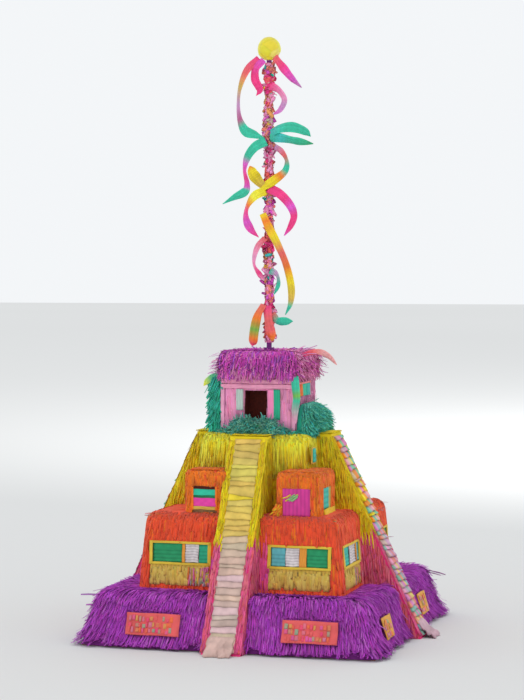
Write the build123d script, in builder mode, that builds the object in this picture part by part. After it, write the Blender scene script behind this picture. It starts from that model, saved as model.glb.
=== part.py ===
"""Stepped-pyramid pinata: cardboard carcass, paper dressing, ribbon mast and a filling flap.

Frame: +Z up, origin on the floor at the middle of the base, front face towards -Y.
Every side of the pyramid is described in the same local frame: u runs along the side, r runs
outwards from the middle, z runs up. All sizes are millimetres.
"""

from build123d import *
import os
from dataclasses import dataclass
from math import cos, hypot, radians, sin

os.makedirs("parts", exist_ok=True)


# ---------------------------------------------------------------- driving dimensions


@dataclass
class Tier:
    """One storey: its bottom and top heights, and its outer cardboard half widths there."""

    z0: float
    z1: float
    half0: float
    half1: float
    fringe: float  # thickness of the paper fringe glued on the outside

    def half(self, z):
        return self.half0 + (self.half1 - self.half0) * (z - self.z0) / (self.z1 - self.z0)


BOARD = 3.0  # corrugated cardboard
CARD = 1.2  # thin card and layered paper
JOINT_GAP = 0.2  # between two cardboard edges that are only taped together

BASE = Tier(0.0, 75.0, 228.0, 206.0, 11.0)
MIDDLE = Tier(75.0, 192.0, 158.0, 148.0, 7.0)
UPPER = Tier(192.0, 310.0, 86.0, 82.0, 6.0)
TEMPLE = Tier(310.0, 440.0, 58.0, 58.0, 3.0)

BASE_DECK_HOLE = 150.0  # half width of the open middle of each deck
MIDDLE_DECK_HOLE = 77.0

STAIR_HALF = 30.0
STEP_HALF = 20.0
STAIR_FOOT = 253.0  # how far out the stair starts, at the floor
STAIR_HEAD = 110.0  # and where it ends, at the top of the upper tier
STEP_PITCH = 12.0
STEP_RISE = 2.5  # how far a pleat stands up from the board
STEP_BACKING = 0.8

DOOR = (-23.0, 16.0, 382.0)  # temple doorway: left, right, top
LINING_DEPTH = 24.0

ROOF_HALF = 66.0
ROOF_SKIRT_BOTTOM = 404.0
ROOF_TOP = 446.0

ROD_RADIUS = 4.0
ROD_CLEARANCE = 0.05
ROD_BOTTOM = 310.3
SOCKET_RADIUS = 8.0
WRAP_RADIUS = 7.5
WRAP_BOTTOM = 453.0
BALL_RADIUS = 19.0
BALL_CENTRE = 916.5
WRAP_TOP = 896.0

FLAP = (-140.0, -50.0, 99.0, 165.0)  # filling hole in the rear wall: u0, u1, z0, z1
FLAP_GAP = 0.4
FLAP_OVERLAP = 5.0  # how far the flap covers the wall round the hole
FLAP_TOP = FLAP[3] + FLAP_OVERLAP
FLAP_FRINGE = 5.0
HINGE_Z = FLAP_TOP + 1.0
TAPE_WIDTH = 9.0
TAPE_THICK = 0.3

WINDOW = (45.0, 144.0, 90.0, 154.0)  # window panel on the middle tier: u0, u1, z0, z1
WINDOW_SILL = 120.0
WINDOW_FRAME = 5.0
WINDOW_DEPTH = 4.0

WIDE_PLAQUES = (85.0, (-114.0, 130.0))  # width and the centres along a side
NARROW_PLAQUES = (50.0, (-146.0, 96.0))
PLAQUES = {"front": WIDE_PLAQUES, "right": NARROW_PLAQUES, "rear": WIDE_PLAQUES, "left": NARROW_PLAQUES}
PLAQUE_Z = (21.0, 53.0)

SIDE_TURN = {"front": 0.0, "right": 90.0, "rear": 180.0, "left": 270.0}


# ---------------------------------------------------------------- shared helpers


def side_plane(side, z):
    """Horizontal plane at height z whose x runs along the side and whose -y points outwards."""
    turn = radians(SIDE_TURN[side])
    return Plane(origin=(0, 0, z), x_dir=(cos(turn), sin(turn), 0), z_dir=(0, 0, 1))


def profile_plane(side, u):
    """Upright plane across a side at u: its x points outwards and its y points up."""
    turn = radians(SIDE_TURN[side])
    along = Vector(cos(turn), sin(turn), 0)
    outward = Vector(sin(turn), -cos(turn), 0)
    return Plane(origin=along * u, x_dir=outward, z_dir=-along)


def face_plane(side, r):
    """Upright plane parallel to a side at distance r: its x runs along the side, its y up."""
    turn = radians(SIDE_TURN[side])
    outward = Vector(sin(turn), -cos(turn), 0)
    return Plane(origin=outward * r, x_dir=(cos(turn), sin(turn), 0), z_dir=outward)


def rectangle_on(plane, u, r):
    """Sketch of the rectangle u[0]..u[1] by r[0]..r[1] in a side's local frame."""
    with BuildSketch(plane) as section:
        with Locations(((u[0] + u[1]) / 2, -(r[0] + r[1]) / 2)):
            Rectangle(u[1] - u[0], r[1] - r[0])
    return section.sketch


def add_plate(side, z, u_low, u_high, r_low, r_high):
    """Add one flat plate that runs from its section at z[0] to its section at z[1]."""
    low = rectangle_on(side_plane(side, z[0]), u_low, r_low)
    high = rectangle_on(side_plane(side, z[1]), u_high, r_high)
    loft([low, high], ruled=True)


def add_block(side, u, r, z):
    """Add one upright block."""
    add_plate(side, z, u, u, r, r)


def save(part, label):
    part.label = label
    export_step(part, f"parts/{label}.step")


def owns_corner(side):
    """Front and rear plates run to the corners; the other two fit between them."""
    return side in ("front", "rear")


def wall_limits(side, half, thick):
    """How far along its side a plate of this thickness runs, so that the corners meet."""
    return half if owns_corner(side) else half - thick - JOINT_GAP


def add_wall(side, tier, z, u=None):
    """Add one cardboard wall of a tier, whole or only between u[0] and u[1]."""
    sections = []
    for height in z:
        half = tier.half(height)
        reach = wall_limits(side, half, BOARD)
        left = -reach if u is None or u[0] is None else u[0]
        right = reach if u is None or u[1] is None else u[1]
        sections.append(((left, right), (half - BOARD, half)))
    add_plate(side, z, sections[0][0], sections[1][0], sections[0][1], sections[1][1])


def add_skirt(side, tier, z, u_inner):
    """Add the paper fringe of half a side, from the stair out to the corner."""
    for sign in (-1, 1):
        sections = []
        for height in z:
            half = tier.half(height) + JOINT_GAP
            reach = wall_limits(side, half + tier.fringe, tier.fringe)
            span = sorted((sign * u_inner, sign * reach))
            sections.append((span, (half, half + tier.fringe)))
        add_plate(side, z, sections[0][0], sections[1][0], sections[0][1], sections[1][1])


def stair_reach(z):
    """Outer edge of the sloping board at height z."""
    return STAIR_FOOT + (STAIR_HEAD - STAIR_FOOT) * z / UPPER.z1


STAIR_LENGTH = hypot(STAIR_FOOT - STAIR_HEAD, UPPER.z1)
SLOPE_DEPTH = BOARD * STAIR_LENGTH / UPPER.z1  # the board's thickness measured horizontally


# ---------------------------------------------------------------- cardboard carcass

with BuildPart() as base_floor:
    with BuildSketch():
        Rectangle(2 * (BASE.half(BOARD) - BOARD - JOINT_GAP), 2 * (BASE.half(BOARD) - BOARD - JOINT_GAP))
    extrude(amount=BOARD)
save(base_floor.part, "base_floor")

with BuildPart() as base_walls:
    for side in SIDE_TURN:
        add_wall(side, BASE, (BASE.z0, BASE.z1 - BOARD))
save(base_walls.part, "base_walls")


def deck_strips(tier, hole):
    """Four cardboard strips laid pinwheel-fashion around the open middle of a deck."""
    outer = tier.half(tier.z1)
    for side in SIDE_TURN:
        add_block(side, (-outer, hole - JOINT_GAP), (hole, outer), (tier.z1 - BOARD, tier.z1))


with BuildPart() as base_deck:
    deck_strips(BASE, BASE_DECK_HOLE)
save(base_deck.part, "base_deck")

MIDDLE_WALL_TOP = MIDDLE.z1 - BOARD
with BuildPart() as middle_walls:
    for side in ("front", "right", "left"):
        add_wall(side, MIDDLE, (MIDDLE.z0, MIDDLE_WALL_TOP))
    add_wall("rear", MIDDLE, (MIDDLE.z0, MIDDLE_WALL_TOP), (FLAP[1] + JOINT_GAP, None))
    add_wall("rear", MIDDLE, (MIDDLE.z0, FLAP[2]), (None, FLAP[1]))
    add_wall("rear", MIDDLE, (FLAP[3], MIDDLE_WALL_TOP), (None, FLAP[1]))
    add_wall("rear", MIDDLE, (FLAP[2] + JOINT_GAP, FLAP[3] - JOINT_GAP), (None, FLAP[0]))
save(middle_walls.part, "middle_walls")

with BuildPart() as middle_deck:
    deck_strips(MIDDLE, MIDDLE_DECK_HOLE)
save(middle_deck.part, "middle_deck")

with BuildPart() as upper_walls:
    for side in SIDE_TURN:
        add_wall(side, UPPER, (UPPER.z0, UPPER.z1 - BOARD))
save(upper_walls.part, "upper_walls")

with BuildPart() as upper_deck:
    with BuildSketch(Plane.XY.offset(UPPER.z1 - BOARD)):
        Rectangle(2 * UPPER.half1, 2 * UPPER.half1)
    extrude(amount=BOARD)
save(upper_deck.part, "upper_deck")

# the temple's front wall is two posts beside the doorway and a lintel over it
TEMPLE_WALL_TOP = TEMPLE.z1 - BOARD
with BuildPart() as temple_walls:
    for side in ("right", "rear", "left"):
        add_wall(side, TEMPLE, (TEMPLE.z0, TEMPLE_WALL_TOP))
    add_wall("front", TEMPLE, (TEMPLE.z0, DOOR[2]), (None, DOOR[0]))
    add_wall("front", TEMPLE, (TEMPLE.z0, DOOR[2]), (DOOR[1], None))
    add_wall("front", TEMPLE, (DOOR[2] + JOINT_GAP, TEMPLE_WALL_TOP))
save(temple_walls.part, "temple_walls")

with BuildPart() as temple_roof:
    with BuildSketch(Plane.XY.offset(TEMPLE_WALL_TOP)):
        Rectangle(2 * (TEMPLE.half1 + TEMPLE.fringe), 2 * (TEMPLE.half1 + TEMPLE.fringe))
        Circle(SOCKET_RADIUS, mode=Mode.SUBTRACT)
    extrude(amount=BOARD)
save(temple_roof.part, "temple_roof")

# a dark paper box behind the doorway: two cheeks, a ceiling and a back
LINING_FRONT = TEMPLE.half0 - BOARD - JOINT_GAP
with BuildPart() as doorway_lining:
    lining_back = LINING_FRONT - LINING_DEPTH
    cheek_top = DOOR[2] - JOINT_GAP
    add_block("front", (DOOR[0] - CARD, DOOR[0]), (lining_back, LINING_FRONT), (TEMPLE.z0, cheek_top))
    add_block("front", (DOOR[1], DOOR[1] + CARD), (lining_back, LINING_FRONT), (TEMPLE.z0, cheek_top))
    add_block(
        "front", (DOOR[0] - CARD, DOOR[1] + CARD), (lining_back, LINING_FRONT), (DOOR[2], DOOR[2] + CARD)
    )
    add_block(
        "front",
        (DOOR[0] - CARD, DOOR[1] + CARD),
        (lining_back - JOINT_GAP - CARD, lining_back - JOINT_GAP),
        (TEMPLE.z0, DOOR[2] + CARD),
    )
save(doorway_lining.part, "doorway_lining")

with BuildPart() as mast_socket:
    with BuildSketch(Plane.XY.offset(UPPER.z1)):
        Circle(SOCKET_RADIUS)
        Circle(ROD_RADIUS + ROD_CLEARANCE, mode=Mode.SUBTRACT)
    extrude(amount=ROOF_TOP - UPPER.z1)
save(mast_socket.part, "mast_socket")


# ---------------------------------------------------------------- houses on the middle deck


@dataclass
class House:
    """A small cardboard house on one half of a side of the middle deck."""

    side: str
    u: tuple  # along the side
    r_inner: float  # how far in its outer side wall goes, towards the middle
    height: float = 67.0


HOUSE_FRONT = 138.0  # distance of every house front from the middle
HOUSE_WALL_REACH = UPPER.half0 + UPPER.fringe + JOINT_GAP  # where a house meets the upper tier
CORNER_HOUSE_SIDE = 118.0  # outer side wall of the two houses that stand at a corner
HOUSES = {
    "front_left_house": House("front", (-90.0, -31.0), HOUSE_WALL_REACH),
    "front_right_house": House("front", (56.0, CORNER_HOUSE_SIDE), 52.0),
    "rear_right_house": House("rear", (-90.0, -31.0), HOUSE_WALL_REACH),
    "rear_left_house": House("rear", (56.0, CORNER_HOUSE_SIDE), 52.0),
}


def build_house(house):
    """Front, two side walls and a roof; a corner house also closes behind the upper tier."""
    z = (MIDDLE.z1, MIDDLE.z1 + house.height)
    u0, u1 = house.u
    inner = HOUSE_WALL_REACH
    add_block(house.side, (u0, u1), (HOUSE_FRONT - BOARD, HOUSE_FRONT), z)
    side_r = HOUSE_FRONT - BOARD - JOINT_GAP
    roof_z = (z[1] - BOARD, z[1])
    wall_z = (z[0], z[1] - BOARD - JOINT_GAP)
    add_block(house.side, (u0, u0 + BOARD), (inner, side_r), wall_z)
    if house.r_inner >= inner:
        add_block(house.side, (u1 - BOARD, u1), (inner, side_r), wall_z)
        add_block(house.side, (u0, u1), (inner, side_r), roof_z)
        return
    add_block(house.side, (u1 - BOARD, u1), (house.r_inner, side_r), wall_z)
    back_u = (inner, u1 - BOARD - JOINT_GAP)
    add_block(house.side, back_u, (house.r_inner, house.r_inner + BOARD), wall_z)
    add_block(house.side, (u0, inner - JOINT_GAP), (inner, side_r), roof_z)
    add_block(house.side, (inner, u1), (house.r_inner, side_r), roof_z)


for label, house in HOUSES.items():
    with BuildPart() as house_part:
        build_house(house)
    save(house_part.part, label)


# ---------------------------------------------------------------- stairs

# each cheek is three panels, one standing beside each storey
CHEEK_STOREYS = (
    (BASE, BASE.z0, BASE.z1),
    (MIDDLE, MIDDLE.z0 + JOINT_GAP, MIDDLE.z1),
    (UPPER, UPPER.z0 + JOINT_GAP, UPPER.z1),
)


def add_cheek(side, u, tier, z0, z1):
    """Add the part of one stair cheek that stands in front of one storey."""
    gap = JOINT_GAP
    with BuildSketch(profile_plane(side, u)) as outline:
        Polygon(
            (tier.half(z0) + gap, z0),
            (stair_reach(z0) - SLOPE_DEPTH - gap, z0),
            (stair_reach(z1) - SLOPE_DEPTH - gap, z1),
            (tier.half(z1) + gap, z1),
            align=None,
        )
    extrude(outline.sketch, amount=BOARD)


def slope_point(distance, lift):
    """Point in a stair's profile: distance up the slope, lift outwards from the board."""
    run = STAIR_FOOT - STAIR_HEAD
    rise = UPPER.z1
    x = STAIR_FOOT - run * distance / STAIR_LENGTH + rise * lift / STAIR_LENGTH
    z = rise * distance / STAIR_LENGTH + run * lift / STAIR_LENGTH
    return (x, z)


def pleat_outline():
    """Closed saw-tooth outline of the pleated paper that makes the steps."""
    start = 3.0
    count = int((STAIR_LENGTH - start) / STEP_PITCH)
    points = [slope_point(start, 0.0)]
    for step in range(count):
        foot = start + step * STEP_PITCH
        points.append(slope_point(foot, STEP_BACKING + STEP_RISE * 0.2))
        points.append(slope_point(foot + STEP_PITCH * 0.8, STEP_BACKING + STEP_RISE))
    end = start + count * STEP_PITCH
    points.append(slope_point(end, STEP_BACKING))
    points.append(slope_point(end, 0.0))
    return points


for side in SIDE_TURN:
    with BuildPart() as cheeks:
        for tier, z0, z1 in CHEEK_STOREYS:
            add_cheek(side, STAIR_HALF, tier, z0, z1)
            add_cheek(side, -STAIR_HALF + BOARD, tier, z0, z1)
    save(cheeks.part, f"{side}_stair_cheeks")

    with BuildPart() as slope:
        with BuildSketch(profile_plane(side, STAIR_HALF)) as board_outline:
            Polygon(
                (stair_reach(0) - SLOPE_DEPTH, 0),
                (stair_reach(0), 0),
                (stair_reach(UPPER.z1), UPPER.z1),
                (stair_reach(UPPER.z1) - SLOPE_DEPTH, UPPER.z1),
                align=None,
            )
        extrude(board_outline.sketch, amount=2 * STAIR_HALF)
        # the landing that joins the top of the stair to the upper deck
        landing_r = (UPPER.half1 + UPPER.fringe + JOINT_GAP, STAIR_HEAD)
        add_block(side, (-STAIR_HALF, STAIR_HALF), landing_r, (UPPER.z1 + JOINT_GAP, UPPER.z1 + BOARD))
    save(slope.part, f"{side}_stair_board")

    with BuildPart() as steps:
        with BuildSketch(profile_plane(side, STEP_HALF)) as pleats:
            Polygon(*pleat_outline(), align=None)
        extrude(pleats.sketch, amount=2 * STEP_HALF)
    save(steps.part, f"{side}_stair_steps")


# ---------------------------------------------------------------- paper fringe, as plain skins

SKIRT_START = STAIR_HALF + 0.6  # fringe begins just beside each stair cheek

with BuildPart() as base_fringe:
    for side in SIDE_TURN:
        add_skirt(side, BASE, (BASE.z0, BASE.z1), SKIRT_START)
save(base_fringe.part, "base_fringe")

with BuildPart() as middle_fringe:
    for side in SIDE_TURN:
        add_skirt(side, MIDDLE, (MIDDLE.z0 + 1.0, MIDDLE.z1), SKIRT_START)
    # room for the window panels, and for the filling flap and its hinge tape
    for side in SIDE_TURN:
        for sign in (-1, 1):
            span = sorted((sign * (WINDOW[0] - JOINT_GAP), sign * (WINDOW[1] + JOINT_GAP)))
            with BuildSketch(face_plane(side, MIDDLE.half1)) as panel_room:
                with Locations(((span[0] + span[1]) / 2, (WINDOW[2] + WINDOW[3]) / 2)):
                    Rectangle(span[1] - span[0], WINDOW[3] - WINDOW[2] + 2 * JOINT_GAP)
            extrude(panel_room.sketch, amount=40, mode=Mode.SUBTRACT)
    room_bottom = FLAP[2] - FLAP_OVERLAP - 4.0
    room_top = HINGE_Z + TAPE_WIDTH + 1.5
    with BuildSketch(face_plane("rear", MIDDLE.half1)) as flap_room:
        with Locations(((FLAP[0] + FLAP[1]) / 2, (room_bottom + room_top) / 2)):
            Rectangle(FLAP[1] - FLAP[0] + 2 * FLAP_OVERLAP + 4.0, room_top - room_bottom)
    extrude(flap_room.sketch, amount=40, mode=Mode.SUBTRACT)
save(middle_fringe.part, "middle_fringe")

with BuildPart() as upper_fringe:
    for side in SIDE_TURN:
        add_skirt(side, UPPER, (UPPER.z0 + 1.0, UPPER.z1), SKIRT_START)
save(upper_fringe.part, "upper_fringe")

with BuildPart() as roof_fringe:
    skirt = Tier(ROOF_SKIRT_BOTTOM, ROOF_TOP, ROOF_HALF, ROOF_HALF, 0)
    for side in SIDE_TURN:
        reach = wall_limits(side, ROOF_HALF, ROOF_HALF - TEMPLE.half1 - TEMPLE.fringe - JOINT_GAP)
        inner = TEMPLE.half1 + TEMPLE.fringe + JOINT_GAP
        add_block(side, (-reach, reach), (inner, ROOF_HALF), (skirt.z0, skirt.z1))
save(roof_fringe.part, "roof_fringe")

with BuildPart() as roof_top_paper:
    with BuildSketch(Plane.XY.offset(TEMPLE.z1)):
        Rectangle(2 * TEMPLE.half1, 2 * TEMPLE.half1)
        Circle(SOCKET_RADIUS + JOINT_GAP, mode=Mode.SUBTRACT)
    extrude(amount=4.0)
save(roof_top_paper.part, "roof_top_paper")

# orange paper on each house's front face
with BuildPart() as house_fringe:
    for house in HOUSES.values():
        z = (MIDDLE.z1 + 1.0, MIDDLE.z1 + house.height)
        add_block(house.side, house.u, (HOUSE_FRONT + JOINT_GAP, HOUSE_FRONT + 2.2), z)
save(house_fringe.part, "house_fringe")


# ---------------------------------------------------------------- teal paper bushes at the temple

BUSH_BOTTOM = UPPER.z1
with BuildPart() as temple_right_bush:
    with BuildSketch(profile_plane("right", 52.0)) as bush:
        with Locations((TEMPLE.half0 + 12.5, BUSH_BOTTOM + 26)):
            RectangleRounded(24, 52, 8)
    extrude(bush.sketch, amount=104)
save(temple_right_bush.part, "temple_right_bush")

with BuildPart() as temple_left_bush:
    with BuildSketch(profile_plane("left", 58.0)) as bush:
        with Locations((TEMPLE.half0 + 11.5, BUSH_BOTTOM + 42)):
            RectangleRounded(22, 84, 8)
    extrude(bush.sketch, amount=116)
save(temple_left_bush.part, "temple_left_bush")

FRONT_BUSHES = ((-19.0, 18.0, 34.0), (11.0, 17.0, 30.0))  # u, half width, height
with BuildPart() as temple_front_bushes:
    for u, half_width, height in FRONT_BUSHES:
        with BuildSketch(face_plane("front", TEMPLE.half0 + 1.0)) as bush:
            with Locations((u, BUSH_BOTTOM + BOARD + height / 2)):
                RectangleRounded(2 * half_width - 7.5, height, 10)
        extrude(bush.sketch, amount=20)
save(temple_front_bushes.part, "temple_front_bushes")


# ---------------------------------------------------------------- paper panels and plaques


def window_bays():
    """Every bay of the middle tier that has a window: the rear bay at the flap has none."""
    for side in SIDE_TURN:
        for sign in (-1, 1):
            if side == "rear" and sign == -1:
                continue
            yield side, sign


def mirrored(sign, low, high):
    return tuple(sorted((sign * low, sign * high)))


PANEL_R = MIDDLE.half(WINDOW[2]) + JOINT_GAP  # the panels hang upright off the battered wall
U0, U1, Z0, Z1 = WINDOW

with BuildPart() as window_frames:
    for side, sign in window_bays():
        r = (PANEL_R, PANEL_R + WINDOW_DEPTH + 1.0)
        with BuildSketch(face_plane(side, r[0])) as frame:
            span = mirrored(sign, U0, U1)
            with Locations(((span[0] + span[1]) / 2, (WINDOW_SILL + Z1) / 2)):
                Rectangle(U1 - U0, Z1 - WINDOW_SILL)
                Rectangle(U1 - U0 - 2 * WINDOW_FRAME, Z1 - WINDOW_SILL - 6.0, mode=Mode.SUBTRACT)
        extrude(frame.sketch, amount=r[1] - r[0])
save(window_frames.part, "window_frames")

WINDOW_PARTS = {
    # name: limits of each strip in a right-hand bay and in a left-hand bay, out from the stair
    "window_shutters": {1: ((51.0, 72.5), (106.0, 138.0)), -1: ((51.0, 64.5), (92.0, 138.0))},
    "window_blinds": {1: ((73.0, 94.0),), -1: ((65.0, 86.5),)},
    "window_posts": {1: ((94.5, 105.5),), -1: ((87.0, 91.5),)},
}
for label, strips in WINDOW_PARTS.items():
    with BuildPart() as strip_part:
        for side, sign in window_bays():
            for low, high in strips[sign]:
                r = (PANEL_R, PANEL_R + WINDOW_DEPTH)
                add_block(side, mirrored(sign, low, high), r, (WINDOW_SILL + 3.5, Z1 - 3.5))
    save(strip_part.part, label)

with BuildPart() as window_aprons:
    for side, sign in window_bays():
        r = (PANEL_R, PANEL_R + WINDOW_DEPTH + 0.5)
        add_block(side, mirrored(sign, U0 + 1.0, U1 - 1.0), r, (Z0, WINDOW_SILL - JOINT_GAP))
save(window_aprons.part, "window_aprons")

with BuildPart() as base_plaques:
    plaque_r = [BASE.half(z) + BASE.fringe + 2 * JOINT_GAP for z in PLAQUE_Z]
    for side, (width, centres) in PLAQUES.items():
        for centre in centres:
            span = (centre - width / 2, centre + width / 2)
            low, high = ((r, r + 3.0) for r in plaque_r)
            add_plate(side, PLAQUE_Z, span, span, low, high)
save(base_plaques.part, "base_plaques")

with BuildPart() as doorway_strips:
    strip_r = (TEMPLE.half0 + JOINT_GAP, TEMPLE.half0 + JOINT_GAP + CARD)
    add_block("front", (-34.0, -24.0), strip_r, (352.0, 382.0))
    add_block("front", (27.0, 36.0), strip_r, (346.0, 382.0))
save(doorway_strips.part, "doorway_strips")

HOUSE_FACE_R = HOUSE_FRONT + 2.4
with BuildPart() as house_door:
    add_block("front", (67.0, 104.5), (HOUSE_FACE_R, HOUSE_FACE_R + 1.5), (197.0, 238.0))
    add_block("rear", (67.0, 104.5), (HOUSE_FACE_R, HOUSE_FACE_R + 1.5), (197.0, 238.0))
save(house_door.part, "house_doors")

with BuildPart() as house_windows:
    for side in ("front", "rear"):
        add_block(side, (-80.0, -42.0), (HOUSE_FACE_R, HOUSE_FACE_R + 1.5), (201.0, 238.0))
save(house_windows.part, "house_windows")

with BuildPart() as house_side_windows:
    for side, corner_side in (("right", -1), ("left", -1)):
        face_r = CORNER_HOUSE_SIDE + JOINT_GAP
        span = mirrored(corner_side, 78.0, 120.0)
        add_block(side, span, (face_r, face_r + 1.5), (198.0, 240.0))
save(house_side_windows.part, "house_side_windows")

with BuildPart() as upper_windows:
    face_r = UPPER.half0 + UPPER.fringe + 2 * JOINT_GAP
    for side in ("right", "left"):
        add_block(side, (-85.0, -65.0), (face_r, face_r + 1.5), (271.0, 295.0))
save(upper_windows.part, "upper_windows")


# ---------------------------------------------------------------- filling flap in the rear wall

# the flap lies against the wall; it turns about the tape's crease, at the wall's face
flap_u = (FLAP[0] - FLAP_OVERLAP, FLAP[1] + FLAP_OVERLAP)
flap_z = (FLAP[2] - FLAP_OVERLAP, FLAP_TOP)


def add_on_wall(z, u, near, far):
    """Add a sheet that follows the rear middle wall, from near to far outside its face."""
    low, high = (MIDDLE.half(height) for height in z)
    add_plate("rear", z, u, u, (low + near, low + far), (high + near, high + far))


with BuildPart() as fill_flap:
    add_on_wall(flap_z, flap_u, FLAP_GAP, FLAP_GAP + BOARD)
save(fill_flap.part, "fill_flap")

FLAP_FACE = FLAP_GAP + BOARD + FLAP_FRINGE
with BuildPart() as flap_fringe:
    add_on_wall(flap_z, flap_u, FLAP_GAP + BOARD, FLAP_FACE)
save(flap_fringe.part, "flap_fringe")

with BuildPart() as flap_pull_tab:
    add_on_wall((FLAP[2] - 8.0, FLAP[2] + 13.0), (-101.0, -89.0), FLAP_FACE, FLAP_FACE + CARD)
save(flap_pull_tab.part, "flap_pull_tab")

with BuildPart() as flap_hinge_tape:
    add_on_wall((HINGE_Z + 0.5, HINGE_Z + TAPE_WIDTH), flap_u, 0.0, TAPE_THICK)
save(flap_hinge_tape.part, "flap_hinge_tape")


# ---------------------------------------------------------------- mast

with BuildPart() as mast_rod:
    with BuildSketch(Plane.XY.offset(ROD_BOTTOM)):
        Circle(ROD_RADIUS)
    extrude(amount=BALL_CENTRE - ROD_BOTTOM)
save(mast_rod.part, "mast_rod")

with BuildPart() as mast_wrap:
    with BuildSketch(Plane.XY.offset(WRAP_BOTTOM)):
        Circle(WRAP_RADIUS)
        Circle(ROD_RADIUS, mode=Mode.SUBTRACT)
    extrude(amount=WRAP_TOP - WRAP_BOTTOM)
save(mast_wrap.part, "mast_wrap")

with BuildPart() as mast_ball:
    with Locations((0, 0, BALL_CENTRE)):
        Sphere(BALL_RADIUS)
    with BuildSketch(Plane.XY.offset(WRAP_TOP)) as rod_hole:
        Circle(ROD_RADIUS)
    extrude(rod_hole.sketch, amount=BALL_CENTRE - WRAP_TOP, mode=Mode.SUBTRACT)
save(mast_ball.part, "mast_ball")


# ---------------------------------------------------------------- paper streamers

STREAMER_THICK = 0.8
STREAMER_PITCH = 1.4  # spacing between streamers that are glued on over each other


@dataclass
class Streamer:
    """A curled paper strip in front of the mast: its middle line (x, z) and its width."""

    width: float
    points: tuple


STREAMERS = {
    "top_streamers": (
        Streamer(12.0, ((-10, 899), (-30, 880), (-44, 852), (-47, 813), (-36, 788), (-8, 777))),
        Streamer(10.0, ((8, 898), (33, 877), (55, 855))),
        Streamer(7.0, ((8, 868), (25, 852), (26, 836), (9, 815))),
        Streamer(7.0, ((-8, 893), (-21, 875), (-20, 858), (-8, 847))),
    ),
    "bow_streamers": (
        Streamer(12.0, ((8, 784), (36, 793), (62, 786))),
        Streamer(10.0, ((8, 778), (38, 769), (68, 769))),
        Streamer(11.0, ((-4, 772), (-28, 752), (-37, 730), (-34, 703), (-46, 686), (-73, 677))),
        Streamer(7.0, ((10, 760), (29, 749), (33, 730), (26, 712))),
    ),
    "leaf_streamers": (
        Streamer(14.0, ((-8, 722), (-18, 706), (-6, 692))),
        Streamer(11.0, ((-6, 692), (-27, 672), (-36, 641), (-20, 611), (-6, 602))),
        Streamer(14.0, ((4, 694), (29, 673), (45, 641), (36, 610), (20, 594))),
    ),
    "middle_streamers": (
        Streamer(11.0, ((-6, 628), (17, 596), (31, 570), (40, 539), (38, 516), (30, 507))),
        Streamer(7.0, ((-8, 594), (-21, 571), (-20, 553), (-8, 539))),
        Streamer(7.0, ((3, 558), (16, 547), (16, 529), (5, 520))),
    ),
    "foot_streamers": (
        Streamer(12.0, ((-4, 524), (-18, 508), (-25, 478), (-28, 452))),
        Streamer(8.0, ((4, 492), (20, 488), (37, 493))),
        Streamer(11.0, ((6, 508), (10, 482), (3, 455))),
    ),
}

for label, strips in STREAMERS.items():
    with BuildPart() as streamer_part:
        for index, strip in enumerate(strips):
            front_y = -(WRAP_RADIUS + 0.4 + STREAMER_PITCH * index)
            with BuildSketch(Plane.XZ.offset(-front_y)) as band:
                with BuildLine() as middle_line:
                    Spline(*strip.points)
                trace(middle_line.line, line_width=strip.width)
            extrude(band.sketch, amount=STREAMER_THICK)
    save(streamer_part.part, label)
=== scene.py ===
import math

import bpy
import numpy as np
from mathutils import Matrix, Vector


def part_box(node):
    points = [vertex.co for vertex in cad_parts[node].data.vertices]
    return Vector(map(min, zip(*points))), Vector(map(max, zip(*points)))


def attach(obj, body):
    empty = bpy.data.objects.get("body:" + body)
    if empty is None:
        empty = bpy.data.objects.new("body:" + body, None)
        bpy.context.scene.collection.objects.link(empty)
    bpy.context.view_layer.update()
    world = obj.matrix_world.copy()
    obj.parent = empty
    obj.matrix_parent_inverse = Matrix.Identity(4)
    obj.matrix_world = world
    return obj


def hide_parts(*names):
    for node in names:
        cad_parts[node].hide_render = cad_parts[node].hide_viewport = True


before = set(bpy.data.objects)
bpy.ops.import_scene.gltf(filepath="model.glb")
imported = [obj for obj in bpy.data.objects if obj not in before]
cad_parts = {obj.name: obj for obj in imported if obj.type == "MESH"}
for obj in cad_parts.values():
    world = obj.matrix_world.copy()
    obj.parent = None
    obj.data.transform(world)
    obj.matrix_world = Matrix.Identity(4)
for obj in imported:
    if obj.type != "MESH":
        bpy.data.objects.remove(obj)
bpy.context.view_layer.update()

# The script works in millimetres and in each side's own directions: u along the side, r outwards
# from the mast, z up. Meshes are scaled to metres when they are made.
MM = 0.001
UP = np.array([0.0, 0.0, 1.0])
RNG = np.random.default_rng(20)
SIDES = ("front", "right", "rear", "left")
CORNERS = ("front_left", "front_right", "rear_right", "rear_left")
FRONT, RIGHT, REAR, LEFT = range(4)


def cad_box(node):
    """Low and high corners of a CAD node's box, in mm."""
    low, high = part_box(node)
    return np.array(low) / MM, np.array(high) / MM


# ------------------------------------------------------------------ places, read from the frame

BASE_HALF = cad_box("base_walls")[1][0]
BASE_TOP_HALF, _, BASE_TOP = cad_box("base_deck")[1]
MIDDLE_HALF = cad_box("middle_walls")[1][0]
MIDDLE_TOP_HALF, _, MIDDLE_TOP = cad_box("middle_deck")[1]
UPPER_HALF = cad_box("upper_walls")[1][0]
UPPER_TOP_HALF, _, UPPER_TOP = cad_box("upper_deck")[1]
TEMPLE_HALF = cad_box("temple_walls")[1][0]
ROOF_Z = cad_box("temple_roof")[1][2]
ROOF_HALF = cad_box("roof_fringe")[1][0]
ROOF_SKIRT_Z = cad_box("roof_fringe")[0][2]
STAIR_FOOT = -cad_box("front_stair_board")[0][1]
STAIR_HALF = cad_box("front_stair_board")[1][0]
STEP_HALF = cad_box("front_stair_steps")[1][0]
STAIR_HEAD = 110.0
STAIR_RUN = STAIR_FOOT - STAIR_HEAD
STAIR_SLOPE = math.hypot(STAIR_RUN, UPPER_TOP)
STEP_COLUMNS = 11
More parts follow.
